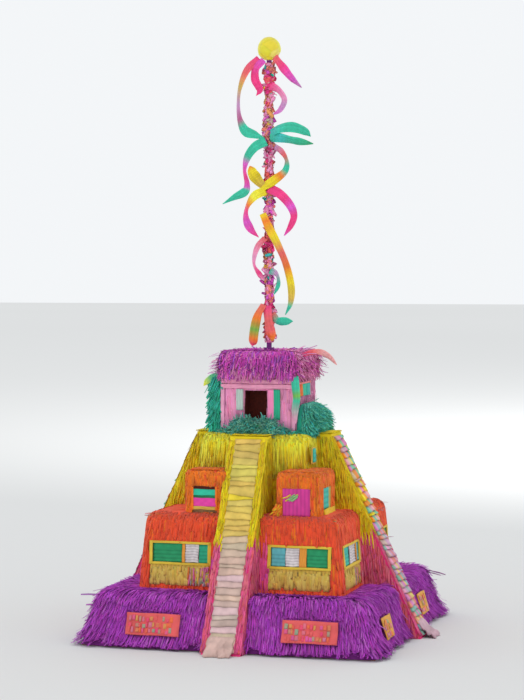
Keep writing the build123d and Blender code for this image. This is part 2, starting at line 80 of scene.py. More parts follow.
BALL_RADIUS = cad_box("mast_ball")[1][0]
BALL_Z = cad_box("mast_ball")[1][2] - BALL_RADIUS
WRAP_LOW, WRAP_HIGH = cad_box("mast_wrap")
KNOT_Z, KNOT_SPREAD = 874.0, 16.0  # the thicker knot of scraps under the ball
# The dark skin behind the hem's teeth is painted shadow.
HEM_Z = 18.0  # below this height the base's hem is cut in teeth, with a dark skin behind it
WINDOW_Z0 = cad_box("window_aprons")[0][2]
WINDOW_SILL = cad_box("window_frames")[0][2]
WINDOW_Z1 = cad_box("window_frames")[1][2]
WINDOW_U0, WINDOW_U1 = 45.0, 144.0
PLAQUE_LOW, PLAQUE_HIGH = cad_box("base_plaques")[0][2], cad_box("base_plaques")[1][2]
PLAQUES = ((85.0, (-114.0, 130.0)), (50.0, (-146.0, 96.0)))  # widths and centres, front and right
DOOR_LEFT, DOOR_RIGHT, DOOR_TOP = -23.0, 16.0, 382.0
SMALL_WINDOW_U, SMALL_WINDOW_Z = (-86.0, -64.0), (273.0, 296.0)  # in the upper tier
HOUSE_DOOR_U, HOUSE_WINDOW_U, HOUSE_OPENING_Z = (63.0, 107.5), (-81.0, -41.0), (199.0, 239.0)
HOUSE_SIDE_WINDOW, HOUSE_SIDE_Z, HOUSE_SIDE_X = (77.0, 121.0), (202.0, 240.0), 112.0
DOOR_HOUSES = ("front_right_house", "rear_left_house")
FLAP_LOW, FLAP_HIGH = cad_box("fill_flap")
FLAP_BAY = (-148.5, -39.5)  # between the stair and the corner, where the flap is
HINGE_Z = FLAP_HIGH[2] + 1.0
TAPE_TOP = HINGE_Z + 11.0
RAMP_CHANGE_Z = 168.0  # the ramps are pink below this height and yellow above it


# ------------------------------------------------------------------ colours


def srgb(*colour):
    """Linear colour of an sRGB colour given as 0 to 255."""
    c = np.array(colour, float) / 255
    return np.where(c <= 0.04045, c / 12.92, ((c + 0.055) / 1.055) ** 2.4)


PURPLE = srgb(198, 70, 208)
LILAC = srgb(205, 150, 200)
RED_ORANGE = srgb(255, 88, 50)
ORANGE = srgb(255, 128, 34)
YELLOW = srgb(252, 226, 22)
LEMON = srgb(250, 246, 66)
GOLD = srgb(248, 196, 24)
PINK = srgb(255, 158, 204)
HOT_PINK = srgb(255, 58, 138)
MAGENTA = srgb(230, 88, 206)
TEAL = srgb(52, 200, 164)
CYAN = srgb(60, 196, 192)
GREEN = srgb(45, 160, 105)
OCHRE = srgb(222, 186, 82)
KHAKI = srgb(230, 202, 104)
CREAM = srgb(216, 190, 172)
WHITE = srgb(228, 222, 222)
DARK_RED = srgb(88, 20, 6)
CORAL = srgb(244, 104, 104)
GRASS = srgb(120, 190, 70)
CONFETTI = np.array([YELLOW, CREAM, TEAL, MAGENTA, CORAL, LILAC, ORANGE, PINK, CYAN])


def blend(a, b, share):
    """Colour between a and b, for one share or for an array of shares."""
    share = np.asarray(share, float)[..., None]
    return np.asarray(a) * (1 - share) + np.asarray(b) * share


def vary(colour, count, light=0.12, other=None, other_share=0.0):
    """count colours scattered round one colour, a few of them moved towards another."""
    colours = np.broadcast_to(colour, (count, 3)) * (1 + RNG.normal(0, light, (count, 1)))
    colours = colours * (1 + RNG.normal(0, 0.05, (count, 3)))
    if other is not None:
        share = (RNG.random(count) < other_share) * RNG.uniform(0.3, 1.0, count)
        colours = colours * (1 - share[:, None]) + np.asarray(other) * share[:, None]
    return np.clip(colours, 0, 1)


def recolour(colours, chosen, colour, light, other=None, other_share=0.0):
    """Give the chosen strips colours of their own."""
    colours[chosen] = vary(colour, int(chosen.sum()), light, other, other_share)


# ------------------------------------------------------------------ small sums


def base_half(z):
    """Half width of the lowest tier at height z."""
    return np.interp(z, [0, BASE_TOP], [BASE_HALF, BASE_TOP_HALF])


def middle_half(z):
    """Half width of the middle tier at height z."""
    return np.interp(z, [BASE_TOP, MIDDLE_TOP], [MIDDLE_HALF, MIDDLE_TOP_HALF])


def unit(vectors):
    """The vectors at length 1."""
    return vectors / np.linalg.norm(vectors, axis=-1, keepdims=True)


def within(values, limits):
    """True where a value is between the two limits."""
    return (values > limits[0]) & (values < limits[1])


def pick(chosen, *arrays):
    """The chosen entries of each array."""
    return [values[chosen] for values in arrays]


def mirrored(sign, low, high):
    """The stretch from low to high, or its mirror image where sign is -1."""
    return tuple(sorted((sign * low, sign * high)))


def round_grid(radius, theta, z):
    """Points round the mast at a radius, an angle and a height each."""
    return np.stack(np.broadcast_arrays(radius * np.cos(theta), radius * np.sin(theta), z), axis=-1)


# ------------------------------------------------------------------ mesh chunks


def make_piece(name, chunks, material, replaces=(), body="pyramid", smooth=False):
    """One object from chunks of (vertices in mm, quads, triangles, vertex colours)."""
    starts = np.cumsum([0] + [len(chunk[0]) for chunk in chunks])
    v = np.concatenate([chunk[0] for chunk in chunks]) * MM
    q = np.concatenate([chunk[1] + start for chunk, start in zip(chunks, starts)]).astype(np.int32)
    t = np.concatenate([chunk[2] + start for chunk, start in zip(chunks, starts)]).astype(np.int32)
    c = np.concatenate([chunk[3] for chunk in chunks])
    mesh = bpy.data.meshes.new(name)
    mesh.vertices.add(len(v))
    mesh.vertices.foreach_set("co", v.ravel())
    mesh.loops.add(q.size + t.size)
    mesh.loops.foreach_set("vertex_index", np.concatenate([q.ravel(), t.ravel()]))
    mesh.polygons.add(len(q) + len(t))
    loop_starts = np.concatenate([np.arange(len(q)) * 4, q.size + np.arange(len(t)) * 3])
    mesh.polygons.foreach_set("loop_start", loop_starts.astype(np.int32))
    mesh.update(calc_edges=True)
    mesh.validate()
    layer = mesh.color_attributes.new("paper", "FLOAT_COLOR", "POINT")
    layer.data.foreach_set("color", np.column_stack([c, np.ones(len(c))]).ravel())
    if smooth:
        mesh.polygons.foreach_set("use_smooth", np.ones(len(mesh.polygons), bool))
    mesh.materials.append(material)
    piece = bpy.data.objects.new(name, mesh)
    bpy.context.collection.objects.link(piece)
    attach(piece, body)
    if replaces:
        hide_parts(*replaces)
    return piece


NO_TRIANGLES = np.zeros((0, 3), int)


def prisms(rings, colours, root_shade=0.88, tip_shade=1.04):
    """Chunk of closed three-sided strips. rings is (strips, stations, 3 corners, xyz). Colours are painted
    darker at the roots and lighter at the tips by root_shade and tip_shade, as painted shade and light.
    """
    count, stations = rings.shape[:2]
    v = rings.reshape(-1, 3)
    base = (np.arange(count) * stations * 3)[:, None]
    quads = []
    for k in range(stations - 1):
        for a, b in ((0, 1), (1, 2), (2, 0)):
            row = np.array([3 * k + b, 3 * k + a, 3 * k + 3 + a, 3 * k + 3 + b])
            quads.append(base + row)
    last = 3 * (stations - 1)
    triangles = [base + np.array([0, 1, 2]), base + np.array([last + 2, last + 1, last])]
    # Painted shade at each strip's root, painted light towards its tip.
    shade = np.linspace(root_shade, tip_shade, stations)[None, :, None, None]
    c = np.broadcast_to(colours[:, None, None, :] * shade, rings.shape).reshape(-1, 3)
    return v, np.concatenate(quads), np.concatenate(triangles), np.clip(c, 0, 1)


def strip_rings(centre, across, normal, width, taper=0.35, fold=0.07):
    """Corner rings of strips from their middle lines: two edges and a slight ridge."""
    stations = centre.shape[1]
    t = np.linspace(0, 1, stations)[None, :, None]
    half = width[:, None, None] * 0.5 * (1 - taper * t**3)
    ridge = centre + normal * (0.12 + half * 2 * fold)
    return np.stack([centre - across * half, centre + across * half, ridge], axis=2)


def free_strips(root, down, out, length, width, flare, sway=0.0, twist=0.0, stations=4, droop=0.0):
    """Rings of strips from root points: they run down and curl out, with some sway and twist."""
    down = unit(np.broadcast_to(down, root.shape))
    out = unit(out - down * (out * down).sum(1, keepdims=True))
    side = np.cross(down, out)
    t = np.linspace(0, 1, stations)[None, :, None]
    size, flare, sway, twist, droop = (
        np.broadcast_to(values, len(root))[:, None, None] for values in (length, flare, sway, twist, droop)
    )
    centre = root[:, None] + down[:, None] * size * t + out[:, None] * flare * t**1.6
    centre = centre + side[:, None] * sway * t**2
    centre[..., 2] -= (droop * t**2)[..., 0]
    turn = twist * t
    across = side[:, None] * np.cos(turn) + out[:, None] * np.sin(turn)
    normal = out[:, None] * np.cos(turn) - side[:, None] * np.sin(turn)
    return strip_rings(centre, across, normal, np.asarray(width))


def tufts(root, down, out, length, width, curl, sway, twist):
    """free_strips with widths, curls, sways and twists drawn at random, each from its own spread."""
    n = len(root)
    return free_strips(
        root, down, out, length, RNG.uniform(*width, n), RNG.gamma(*curl, n), RNG.normal(0, sway, n),
        RNG.normal(0, twist, n),
    )


def closed_sheet(front, back, colours):
    """Chunk of a closed sheet between two grids of points, (rows, columns, xyz)."""
    rows, columns = front.shape[:2]
    v = np.concatenate([front.reshape(-1, 3), back.reshape(-1, 3)])
    # The back face is painted at 0.8 of the colours: painted shade on the side that faces away.
    c = np.concatenate([colours.reshape(-1, 3), colours.reshape(-1, 3) * 0.8])
    index = np.arange(rows * columns).reshape(rows, columns)
    a, b = index[:-1, :-1].ravel(), index[:-1, 1:].ravel()
    d, e = index[1:, :-1].ravel(), index[1:, 1:].ravel()
    offset = rows * columns
    quads = [np.stack([a, b, e, d], 1), np.stack([a, d, e, b], 1) + offset]
    rim = np.concatenate([index[0], index[1:, -1], index[-1, -2::-1], index[-2:0:-1, 0]])
    following = np.roll(rim, -1)
    quads.append(np.stack([following, rim, rim + offset, following + offset], 1))
    return v, np.concatenate(quads), NO_TRIANGLES, np.clip(c, 0, 1)


def local_to_world(side, u, r, z):
    """Points of a side's local frame. side is 0 to 3, from the front round to the left."""
    turn = np.asarray(side) * math.pi / 2
    cos, sin = np.cos(turn), np.sin(turn)
    return np.stack(np.broadcast_arrays(u * cos + r * sin, u * sin - r * cos, z), axis=-1)


# ------------------------------------------------------------------ storeys as surfaces


class Tower:
    """A storey with a rounded rectangular plan, followed from the middle of its top outwards
    over a rounded edge and down its walls. inset is the distance in from the plan's limits."""

    def __init__(self, half_x, half_y, path, edge_radius, corner, centre=(0.0, 0.0)):
        self.half = (half_x, half_y)
        self.corner = corner
        self.centre = np.array(centre)
        start, edge, end = np.array(path)
        first = edge + unit(start - edge) * edge_radius
        second = edge + unit(end - edge) * edge_radius
        t = np.linspace(0, 1, 13)[:, None]
        bend = first * (1 - t) ** 2 + 2 * edge * t * (1 - t) + second * t**2
        self.path = np.concatenate([[start], bend, [end]])
        steps = np.linalg.norm(np.diff(self.path, axis=0), axis=1)
        self.s = np.concatenate([[0], np.cumsum(steps)])
        self.slope = unit(np.gradient(self.path, self.s, axis=0))
        self.length = self.s[-1]
        self.s_edge = (self.s[1] + self.s[13]) / 2

    def s_at(self, z):
        """How far along the wall part of the path a height is."""
        wall = self.path[13:]
        return np.interp(-np.asarray(z, float), -wall[:, 1], self.s[13:])

    def at(self, side, v, s):
        """Points, outward normals and directions along the side; v runs from corner to corner."""
        side = np.asarray(side)
        beyond = np.maximum(s - self.length, 0)
        inset = np.interp(s, self.s, self.path[:, 0]) + self.slope[-1, 0] * beyond
        z = np.interp(s, self.s, self.path[:, 1]) + self.slope[-1, 1] * beyond
        nz = -np.interp(s, self.s, self.slope[:, 0])
        flat = -np.interp(s, self.s, self.slope[:, 1])
        along_half = np.where(side % 2 == 0, self.half[0], self.half[1])
        out_half = np.where(side % 2 == 0, self.half[1], self.half[0])
        c = self.corner
        straight = (along_half - c) / (along_half - c + math.pi / 4 * c)
        bend = np.clip((np.abs(v) - straight) / (1 - straight), 0, None) * math.pi / 4
        sign = np.sign(v)
        reach = np.minimum(np.abs(v) / straight, 1.0)
        u = sign * (reach * (along_half - inset - c) + c * np.sin(bend))
        r = out_half - inset - c + c * np.cos(bend)
        nu, nr = sign * np.sin(bend), np.cos(bend)
        point = local_to_world(side, u, r, z)
        point[..., :2] += self.centre
        normal = local_to_world(side, nu * flat, nr * flat, nz)
        along = local_to_world(side, nr, -nu, np.zeros_like(nu))
        return point, normal, along, u, z

    def row_places(self, first, over, down, lowest):
        """Where rows of strips start: every `over` along the top and every `down` on the wall."""
        top = np.arange(first, self.s_edge, over)
        return np.concatenate([top, np.arange(self.s_edge, self.s_at(lowest), down)])

    def rows(self, s_values, spacing):
        """Root places of rows of strips: side, v and s, evenly spread with jitter."""
        sides, vs, ss = [], [], []
        for s in s_values:
            for side in range(4):
                half = self.half[side % 2] - np.interp(s, self.s, self.path[:, 0])
                count = max(2, int(2 * half / spacing))
                v = (np.arange(count) + RNG.random(count)) / count * 2 - 1
                vs.append(v)
                sides.append(np.full(count, side))
                ss.append(s + RNG.normal(0, 2.0, count))
        return np.concatenate(sides), np.concatenate(vs), np.clip(np.concatenate(ss), 0, self.length)

    def strips(self, side, v, s, length, width, lift, flare, sway, twist, stations=4):
        """Rings of strips that follow the surface downwards and flare away from it."""
        t = np.linspace(0, 1, stations)[None, :]
        half = np.where(side % 2 == 0, self.half[0], self.half[1])[:, None]
        s_t = s[:, None] + length[:, None] * t
        v_t = v[:, None] + sway[:, None] * t**2 / half
        point, normal, along, _, _ = self.at(side[:, None], v_t, s_t)
        centre = point + normal * (lift[:, None] + flare[:, None] * t**1.6)[..., None]
        turn = (twist[:, None] * t)[..., None]
        across = along * np.cos(turn) + normal * np.sin(turn)
        facing = normal * np.cos(turn) - along * np.sin(turn)
        return strip_rings(centre, across, facing, width)

    def skin(self, side, v_range, s_range, lift, thick, colour, rows=24, columns=26):
        """Closed paper skin over a part of one side."""
        s = np.linspace(*s_range, rows)[:, None] * np.ones((1, columns))
        v = np.linspace(*v_range, columns)[None, :] * np.ones((rows, 1))
        point, normal, _, _, _ = self.at(np.full(v.shape, side), v, s)
        bump = lift + 0.35 * np.sin(v * 31 + s * 0.2) + 0.25 * np.sin(s * 0.9 + v * 13)
        front, back = point + normal * (bump + thick)[..., None], point + normal * bump[..., None]
        return closed_sheet(front, back, np.broadcast_to(colour, point.shape))


def wall_tower(half_low, half_high, z_low, z_high, top_inset, edge_radius, corner):
    """Tower for one square tier; its top is followed from top_inset inside the edge."""
    path = ((top_inset, z_high), (0.0, z_high), (half_high - half_low, z_low))
    return Tower(half_high, half_high, path, edge_radius, corner)


BASE = wall_tower(BASE_HALF, BASE_TOP_HALF, 0.0, BASE_TOP, BASE_TOP_HALF - MIDDLE_HALF, 9, 12)
MIDDLE = wall_tower(MIDDLE_HALF, MIDDLE_TOP_HALF, BASE_TOP, MIDDLE_TOP, 56.0, 11, 9)
UPPER = wall_tower(UPPER_HALF, UPPER_TOP_HALF, MIDDLE_TOP, UPPER_TOP, 20.0, 7, 7)
TEMPLE = wall_tower(TEMPLE_HALF, TEMPLE_HALF, UPPER_TOP, ROOF_Z, 10.0, 3, 3)
ROOF = wall_tower(ROOF_HALF - 3, ROOF_HALF - 4, ROOF_SKIRT_Z, ROOF_Z + 0.6, ROOF_HALF - 10, 4, 6)


def stair_reach(z):
    """How far out a stair's sloping board is, at height z."""
    return STAIR_FOOT + (STAIR_HEAD - STAIR_FOOT) * z / UPPER_TOP


# ------------------------------------------------------------------ materials


def new_material(name, **values):
    """A material and its shader, with some of the shader's inputs set."""
    material = bpy.data.materials.new(name)
    material.use_nodes = True
    shader = material.node_tree.nodes["Principled BSDF"]
    set_inputs(shader, values)
    return material, shader


def set_inputs(node, values):
    """Set a node's inputs by name; an underscore in a name stands for a space."""
    for name, value in values.items():
        node.inputs[name.replace("_", " ")].default_value = value


def add_node(material, kind, operation=None, **values):
    """Add one node to a material, with some of its inputs set."""
    node = material.node_tree.nodes.new(f"ShaderNode{kind}")
    if operation:
        node.operation = operation
    set_inputs(node, values)
    return node


def add_ramp(material, low, high, positions=(0.0, 1.0)):
    """Add a colour ramp between two colours."""
    ramp = add_node(material, "ValToRGB")
    for stop, colour, position in zip(ramp.color_ramp.elements, (low, high), positions):
        stop.color = (*colour, 1)
        stop.position = position
    return ramp


def wire(material, *routes):
    """Join outputs to inputs: each route is (node, output, node, input)."""
    for source, output, target, entry in routes:
        material.node_tree.links.new(source.outputs[output], target.inputs[entry])


def paper_material(name, roughness=0.78, specular=0.22, crepe=0.35, mottle=0.16):
    """Dyed crepe paper: the piece's own colours, mottled, with fine cross-wrinkles and fibres."""
    material, shader = new_material(
        name, Roughness=roughness, Specular_IOR_Level=specular, Sheen_Weight=0.1
    )
    colour = add_node(material, "Attribute")
    colour.attribute_name = "paper"
    place = add_node(material, "TexCoord")
    blotch = add_node(material, "TexNoise", Scale=55.0, Detail=4.0)
    fibre = add_node(material, "TexNoise", Scale=620.0, Detail=3.0)
    stretch = add_node(material, "Mapping", Scale=(1.0, 1.0, 0.35))
    level = add_node(
        material, "MapRange", From_Min=0.3, From_Max=0.7, To_Min=1 - mottle, To_Max=1 + mottle * 0.7
    )
    tone = add_node(material, "VectorMath", "SCALE")
    bump = add_node(material, "Bump", Strength=crepe, Distance=0.0006)
    wire(
        material,
        (place, "Object", blotch, "Vector"),
        (place, "Object", stretch, "Vector"),
        (stretch, "Vector", fibre, "Vector"),
        (blotch, "Fac", level, "Value"),
        (colour, "Color", tone, 0),
        (level, "Result", tone, "Scale"),
        (tone, "Vector", shader, "Base Color"),
        (fibre, "Fac", bump, "Height"),
        (bump, "Normal", shader, "Normal"),
    )
    return material


def board_material(name, light, dark, flute=420.0):
    """Corrugated brown board: a faint ribbed pattern, fibres and speckles."""
    material, shader = new_material(name, Roughness=0.86)
    place = add_node(material, "TexCoord")
    rib = add_node(material, "TexWave", Scale=flute, Distortion=1.5)
    speckle = add_node(material, "TexNoise", Scale=260.0, Detail=6.0)
    ramp = add_ramp(material, dark, light, (0.25, 0.75))
    bump = add_node(material, "Bump", Strength=0.3, Distance=0.0004)
    wire(
        material,
        (place, "Object", rib, "Vector"),
        (place, "Object", speckle, "Vector"),
        (speckle, "Fac", ramp, "Fac"),
        (rib, "Fac", bump, "Height"),
        (ramp, "Color", shader, "Base Color"),
        (bump, "Normal", shader, "Normal"),
    )
    return material


def ramp_material():
    """Painted ramp boards: hot pink low down, yellow above, brushed and slightly mottled."""
    material, shader = new_material("painted_ramp_board", Roughness=0.82)
    place = add_node(material, "TexCoord")
    split = add_node(material, "SeparateXYZ")
    edge = add_node(material, "TexNoise", Scale=70.0)
    height = add_node(material, "Math", "MULTIPLY_ADD")
    height.inputs[1].default_value = 0.03
    change = RAMP_CHANGE_Z * MM
    band = add_node(material, "MapRange", From_Min=change + 0.008, From_Max=change + 0.022)
    ramp = add_ramp(material, HOT_PINK, YELLOW)
    bump = add_node(material, "Bump", Strength=0.2, Distance=0.0004)
    wire(
        material,
        (place, "Object", split, "Vector"),
        (place, "Object", edge, "Vector"),
        (edge, "Fac", height, 0),
        (split, "Z", height, 2),
        (height, "Value", band, "Value"),
        (band, "Result", ramp, "Fac"),
        (ramp, "Color", shader, "Base Color"),
        (edge, "Fac", bump, "Height"),
        (bump, "Normal", shader, "Normal"),
    )
    return material


CREPE = paper_material("crepe_paper")
SHAGGY = paper_material("shaggy_crepe_paper", mottle=0.24, crepe=0.45)
SMOOTH = paper_material("smooth_tissue_paper", roughness=0.7, crepe=0.2, mottle=0.1)
PLEATED = paper_material("pleated_paper", roughness=0.8, crepe=0.3, mottle=0.2)
RIBBON = paper_material("streamer_paper", roughness=0.5, specular=0.4, crepe=0.25, mottle=0.14)
GLOSSY = paper_material("glazed_paper", roughness=0.28, specular=0.5, crepe=0.08, mottle=0.1)
CARDBOARD = board_material("cardboard", srgb(186, 148, 104), srgb(150, 112, 72))
LINING = board_material("dark_red_paper", srgb(110, 26, 8), srgb(64, 12, 4), flute=90.0)
DOWEL = board_material("painted_dowel", srgb(140, 60, 150), srgb(96, 34, 110), flute=60.0)
RAMP_BOARD = ramp_material()

SHOWN_BOARD = {
    CARDBOARD: (
        "base_floor", "base_walls", "base_deck", "middle_walls", "middle_deck", "upper_walls", "upper_deck",
        "temple_walls", "temple_roof", "fill_flap", *(f"{name}_house" for name in CORNERS),
    ),
    RAMP_BOARD: [f"{name}_stair_{part}" for name in SIDES for part in ("cheeks", "board")],
    LINING: ("doorway_lining",),
    DOWEL: ("mast_rod", "mast_socket"),
}
for material, nodes in SHOWN_BOARD.items():
    for node in nodes:
        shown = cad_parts[node]
        shown.data.materials.clear()
        shown.data.materials.append(material)


# ------------------------------------------------------------------ camera, lights and floor


def make_camera():
    """Camera a little right of the front, level with the temple, looking slightly down."""
    azimuth, distance, height = math.radians(16.6), 3.2577, 0.5558
    pitch, yaw = math.radians(-2.0), math.radians(0.2)
    data = bpy.data.cameras.new("camera")
    data.sensor_width, data.lens = 36.0, 105.96
    camera = bpy.data.objects.new("camera", data)
    camera.location = (distance * math.sin(azimuth), -distance * math.cos(azimuth), height)
    camera.rotation_euler = (math.pi / 2 + pitch, 0.0, azimuth + yaw)
    bpy.context.collection.objects.link(camera)
    bpy.context.scene.camera = camera


def area_light(name, place, target, size, power, colour):
    """One square lamp that faces a target."""
    data = bpy.data.lights.new(name, "AREA")
    data.size = size
    data.energy = power
    data.color = colour
    lamp = bpy.data.objects.new(name, data)
    lamp.location = place
    direction = np.array(target) - np.array(place)
    yaw = math.atan2(direction[0], -direction[1])
    pitch = math.atan2(math.hypot(direction[0], direction[1]), -direction[2])
    lamp.rotation_euler = (pitch, 0.0, yaw)
    bpy.context.collection.objects.link(lamp)


def make_floor():
    """Wide pale floor, which is not part of the object."""
    bpy.ops.mesh.primitive_plane_add(size=80.0, location=(0, 0, 0))
    floor = bpy.context.object
    floor.name = "studio_floor"
    material, shader = new_material("pale_floor", Roughness=1.0, Specular_IOR_Level=0.0)
    grain = add_node(material, "TexNoise", Scale=8.0)
    ramp = add_ramp(material, (0.79, 0.79, 0.78), (0.83, 0.83, 0.82))
    wire(material, (grain, "Fac", ramp, "Fac"), (ramp, "Color", shader, "Base Color"))
    floor.data.materials.append(material)


def make_studio():
    """Camera, floor, three soft lamps and an even pale sky."""
    make_camera()
    make_floor()
    area_light("key_softbox", (-0.9, -3.2, 1.5), (0, 0, 0.35), 2.4, 165.0, (1.0, 0.985, 0.96))
    area_light("fill_softbox", (2.6, -2.2, 1.2), (0, 0, 0.35), 2.4, 105.0, (0.97, 0.98, 1.0))
    area_light("rear_softbox", (0.6, 2.9, 2.4), (0, 0, 0.4), 2.2, 70.0, (1.0, 1.0, 1.0))
    world = bpy.data.worlds.new("studio")
    world.use_nodes = True
    set_inputs(world.node_tree.nodes["Background"], {"Color": (0.92, 0.94, 0.96, 1), "Strength": 0.98})
    bpy.context.scene.world = world
    bpy.context.scene.view_settings.view_transform = "Standard"


make_studio()


# ------------------------------------------------------------------ fringe on the tiers


def window_bays():
    """Side and sign of each bay of the middle tier that has a window panel."""
    return [(side, sign) for side in range(4) for sign in (-1, 1) if (side, sign) != (REAR, -1)]


def clear_of_stairs(u):
    """True where a strip's root is clear of the stair on its side."""
    return np.abs(u) > STAIR_HALF + 1.5


def cut_at(length, z, lowest, hang):
    """Shorter lengths, so that strips from height z hang no lower than about lowest."""
    return np.minimum(length, np.maximum(z - lowest, 0) * 1.02 + hang)


def window_mask(side, u, z):
    """True where a strip's root would lie on a window panel."""
    bay = within(np.abs(u), (WINDOW_U0, WINDOW_U1)) & ~((side == REAR) & (u < 0))
    return bay & within(z, (WINDOW_Z0 - 3, WINDOW_Z1))


def flap_mask(side, u, z):
    """True on the rear wall where the filling flap and its tape are."""
    return (side == REAR) & within(u, FLAP_BAY) & within(z, (FLAP_LOW[2] - 2, TAPE_TOP + 0.5))


def corner_pieces(prefix, tower, strips, colours, skins, material):
    """Make one tier's strips as four pieces, one for each corner, with the skins behind them."""
    side, v = strips[:2]
    corner = (side + (v > 0)) % 4
    for index, name in enumerate(CORNERS):
        here = corner == index
        chunks = [prisms(tower.strips(*pick(here, *strips)), colours[here])] + skins[index]
        make_piece(f"{prefix}_{name}", chunks, material, [prefix] if index == 0 else ())


def corner_skins(tower, s_range, lift, colour):
    """Paper skins under the fringe, from stair to stair round each corner."""
    gap = STAIR_HALF / tower.half[0]
    return [
        [
            tower.skin((corner - 1) % 4, (gap, 1.0), s_range, lift, 0.8, colour),
            tower.skin(corner, (-1.0, -gap), s_range, lift, 0.8, colour),
        ]
        for corner in range(4)
    ]


def base_fringe():
    """Shaggy purple strips, cut in teeth at the floor and kept clear of the plaques."""
    tower = BASE
    side, v, s = tower.rows(tower.row_places(1, 5.0, 5.5, 10.0), 2.4)
    _, _, _, u, z = tower.at(side, v, s)
    on_plaque = np.zeros(len(u), bool)
    for parity, (width, centres) in enumerate(PLAQUES):
        for centre in centres:
            on_plaque |= (side % 2 == parity) & (np.abs(u - centre) < width / 2 - 1)
    keep = clear_of_stairs(u) & ~(on_plaque & within(z, (PLAQUE_LOW + 1, PLAQUE_HIGH - 1)))
    side, v, s, u, z, on_plaque = pick(keep, side, v, s, u, z, on_plaque)
    n = len(s)
    tops = s < tower.s_edge
    lift = RNG.uniform(5.4, 6.6, n)
    flare = RNG.gamma(1.6, 0.7, n) + 0.5
    flare = np.where(tops & (s > tower.s_edge - 26), RNG.uniform(1, 7, n), flare)
    hem, corner = (z < 32) & ~tops, (np.abs(v) > 0.88) & ~tops
    teeth = tooth_gaps(side, u)
    flare = np.where(hem, flare + 0.55 * (15 - teeth) + 2.0 * RNG.random(n), flare)
    flare = np.where(corner, flare + RNG.gamma(1.4, 1.7, n), flare)
    shaggy = (RNG.random(n) < 0.02) & ~tops
    flare = np.clip(np.where(shaggy, flare + RNG.uniform(4, 8, n), flare), 0, 15)
    length = np.where(tops, RNG.uniform(14, 24, n), RNG.uniform(18, 30, n))
    to_floor = 0.25 * (lift + flare) - 0.8 - 0.9 * teeth - RNG.uniform(0, 1.5, n)
    length = np.where(tops, length, cut_at(length, z, 0.0, to_floor))
    over = on_plaque & (z >= PLAQUE_HIGH - 1) & ~tops
    length = np.maximum(np.where(over, cut_at(length, z, PLAQUE_HIGH, RNG.uniform(-1, 2, n)), length), 4.0)
    shade = 1 - 0.08 * np.clip(np.sin(v * 9 + side * 2) * np.sin(s * 0.11), 0, 1)[:, None]
    colours = vary(PURPLE, n, 0.045, srgb(214, 112, 220), 0.16) * shade
    width = RNG.uniform(2.2, 4.2, n)
    strips = (side, v, s, length, width, lift, flare, RNG.normal(0, 1.7, n), RNG.normal(0, 0.12, n))
    corner_pieces("base_fringe", tower, strips, colours, base_skins(), SHAGGY)


def tooth_gaps(side, u):
    """How far above the floor the base's hem ends at each place, cut in uneven teeth."""
    place = u / 11.5 + 0.6 * np.sin(u * 0.21 + side) + 100
    tooth = place.astype(int)
    depth = 10 + 5 * np.sin(tooth * 12.9 + side * 3.1)
    return depth * (np.abs(place - tooth - 0.5) * 2) ** 0.7


def base_skins():
    """Skins behind the base's fringe, a little darker than the strips as painted shade, and a much darker one
    close to the wall under the ragged hem, as painted shadow between its teeth.
    """
    hem = BASE.s_at(HEM_Z)
    # Painted shade: PURPLE * 0.9 under the strips, and PURPLE * 0.35 as painted shadow behind the hem.
    upper = corner_skins(BASE, (0, hem), 4.4, PURPLE * 0.9)
    lower = corner_skins(BASE, (hem, BASE.length), 4.2, PURPLE * 0.35)
    return [a + b for a, b in zip(upper, lower)]


def stray_tips():
    """Long pale tips that stick out sideways at two opposite corners of the lower tiers."""
    chunks = []
    heights = (0, BASE_TOP, BASE_TOP + 0.1, MIDDLE_TOP)
    halves = (BASE_HALF, BASE_TOP_HALF, MIDDLE_HALF, MIDDLE_TOP_HALF)
    for low, high, n, reach, colour in (
        (BASE_TOP - 4, BASE_TOP + 9, 9, (24, 38), blend(PURPLE, LILAC, 0.75)),
        (20.0, BASE_TOP - 10, 9, (12, 22), blend(PURPLE, LILAC, 0.45)),
        (MIDDLE_TOP - 10, MIDDLE_TOP + 3, 4, (12, 20), blend(CORAL, WHITE, 0.5)),
        (118.0, 150.0, 2, (10, 16), blend(PINK, WHITE, 0.4)),
    ):
        for side in (FRONT, REAR):
            z = RNG.uniform(low, high, n)
            half = np.interp(z, heights, halves)
            root = local_to_world(side, -half - 2, half * RNG.uniform(0.6, 0.97, n), z)
            outward = local_to_world(side, -1, RNG.normal(0, 0.25, n), RNG.normal(0.02, 0.12, n))
            length, width, flare = RNG.uniform(*reach, n), RNG.uniform(2.6, 4.4, n), RNG.normal(0, 2.0, n)
            sway, twist = RNG.normal(0, 4, n), RNG.normal(0, 0.5, n)
            up = local_to_world(side, 0, 0.5, 1)
            rings = free_strips(root, outward, up, length, width, flare, sway, twist, droop=3.0)
            chunks.append(prisms(rings, vary(colour, n, 0.05)))
    make_piece("stray_tips", chunks, SHAGGY)


def middle_colours(side, u, z, n):
    """Red-orange, turning hot pink beside the stairs below the ramps' change of colour."""
    colours = vary(RED_ORANGE, n, 0.035, ORANGE, 0.1)
    edge = WINDOW_U0 + RNG.normal(0, 2.5, n)
    pink = (np.abs(u) < edge) & (z < RAMP_CHANGE_Z - 6 + RNG.normal(0, 6, n))
    recolour(colours, pink, blend(HOT_PINK, PINK, 0.2), 0.05, MAGENTA, 0.25)
    coral = pink & (side % 2 == 1)
    recolour(colours, coral, blend(CORAL, HOT_PINK, 0.3), 0.06, blend(PINK, CREAM, 0.5), 0.3)
    recolour(colours, pink & (z < BASE_TOP + 26), blend(HOT_PINK, ORANGE, 0.45), 0.07, ORANGE, 0.4)
    return colours


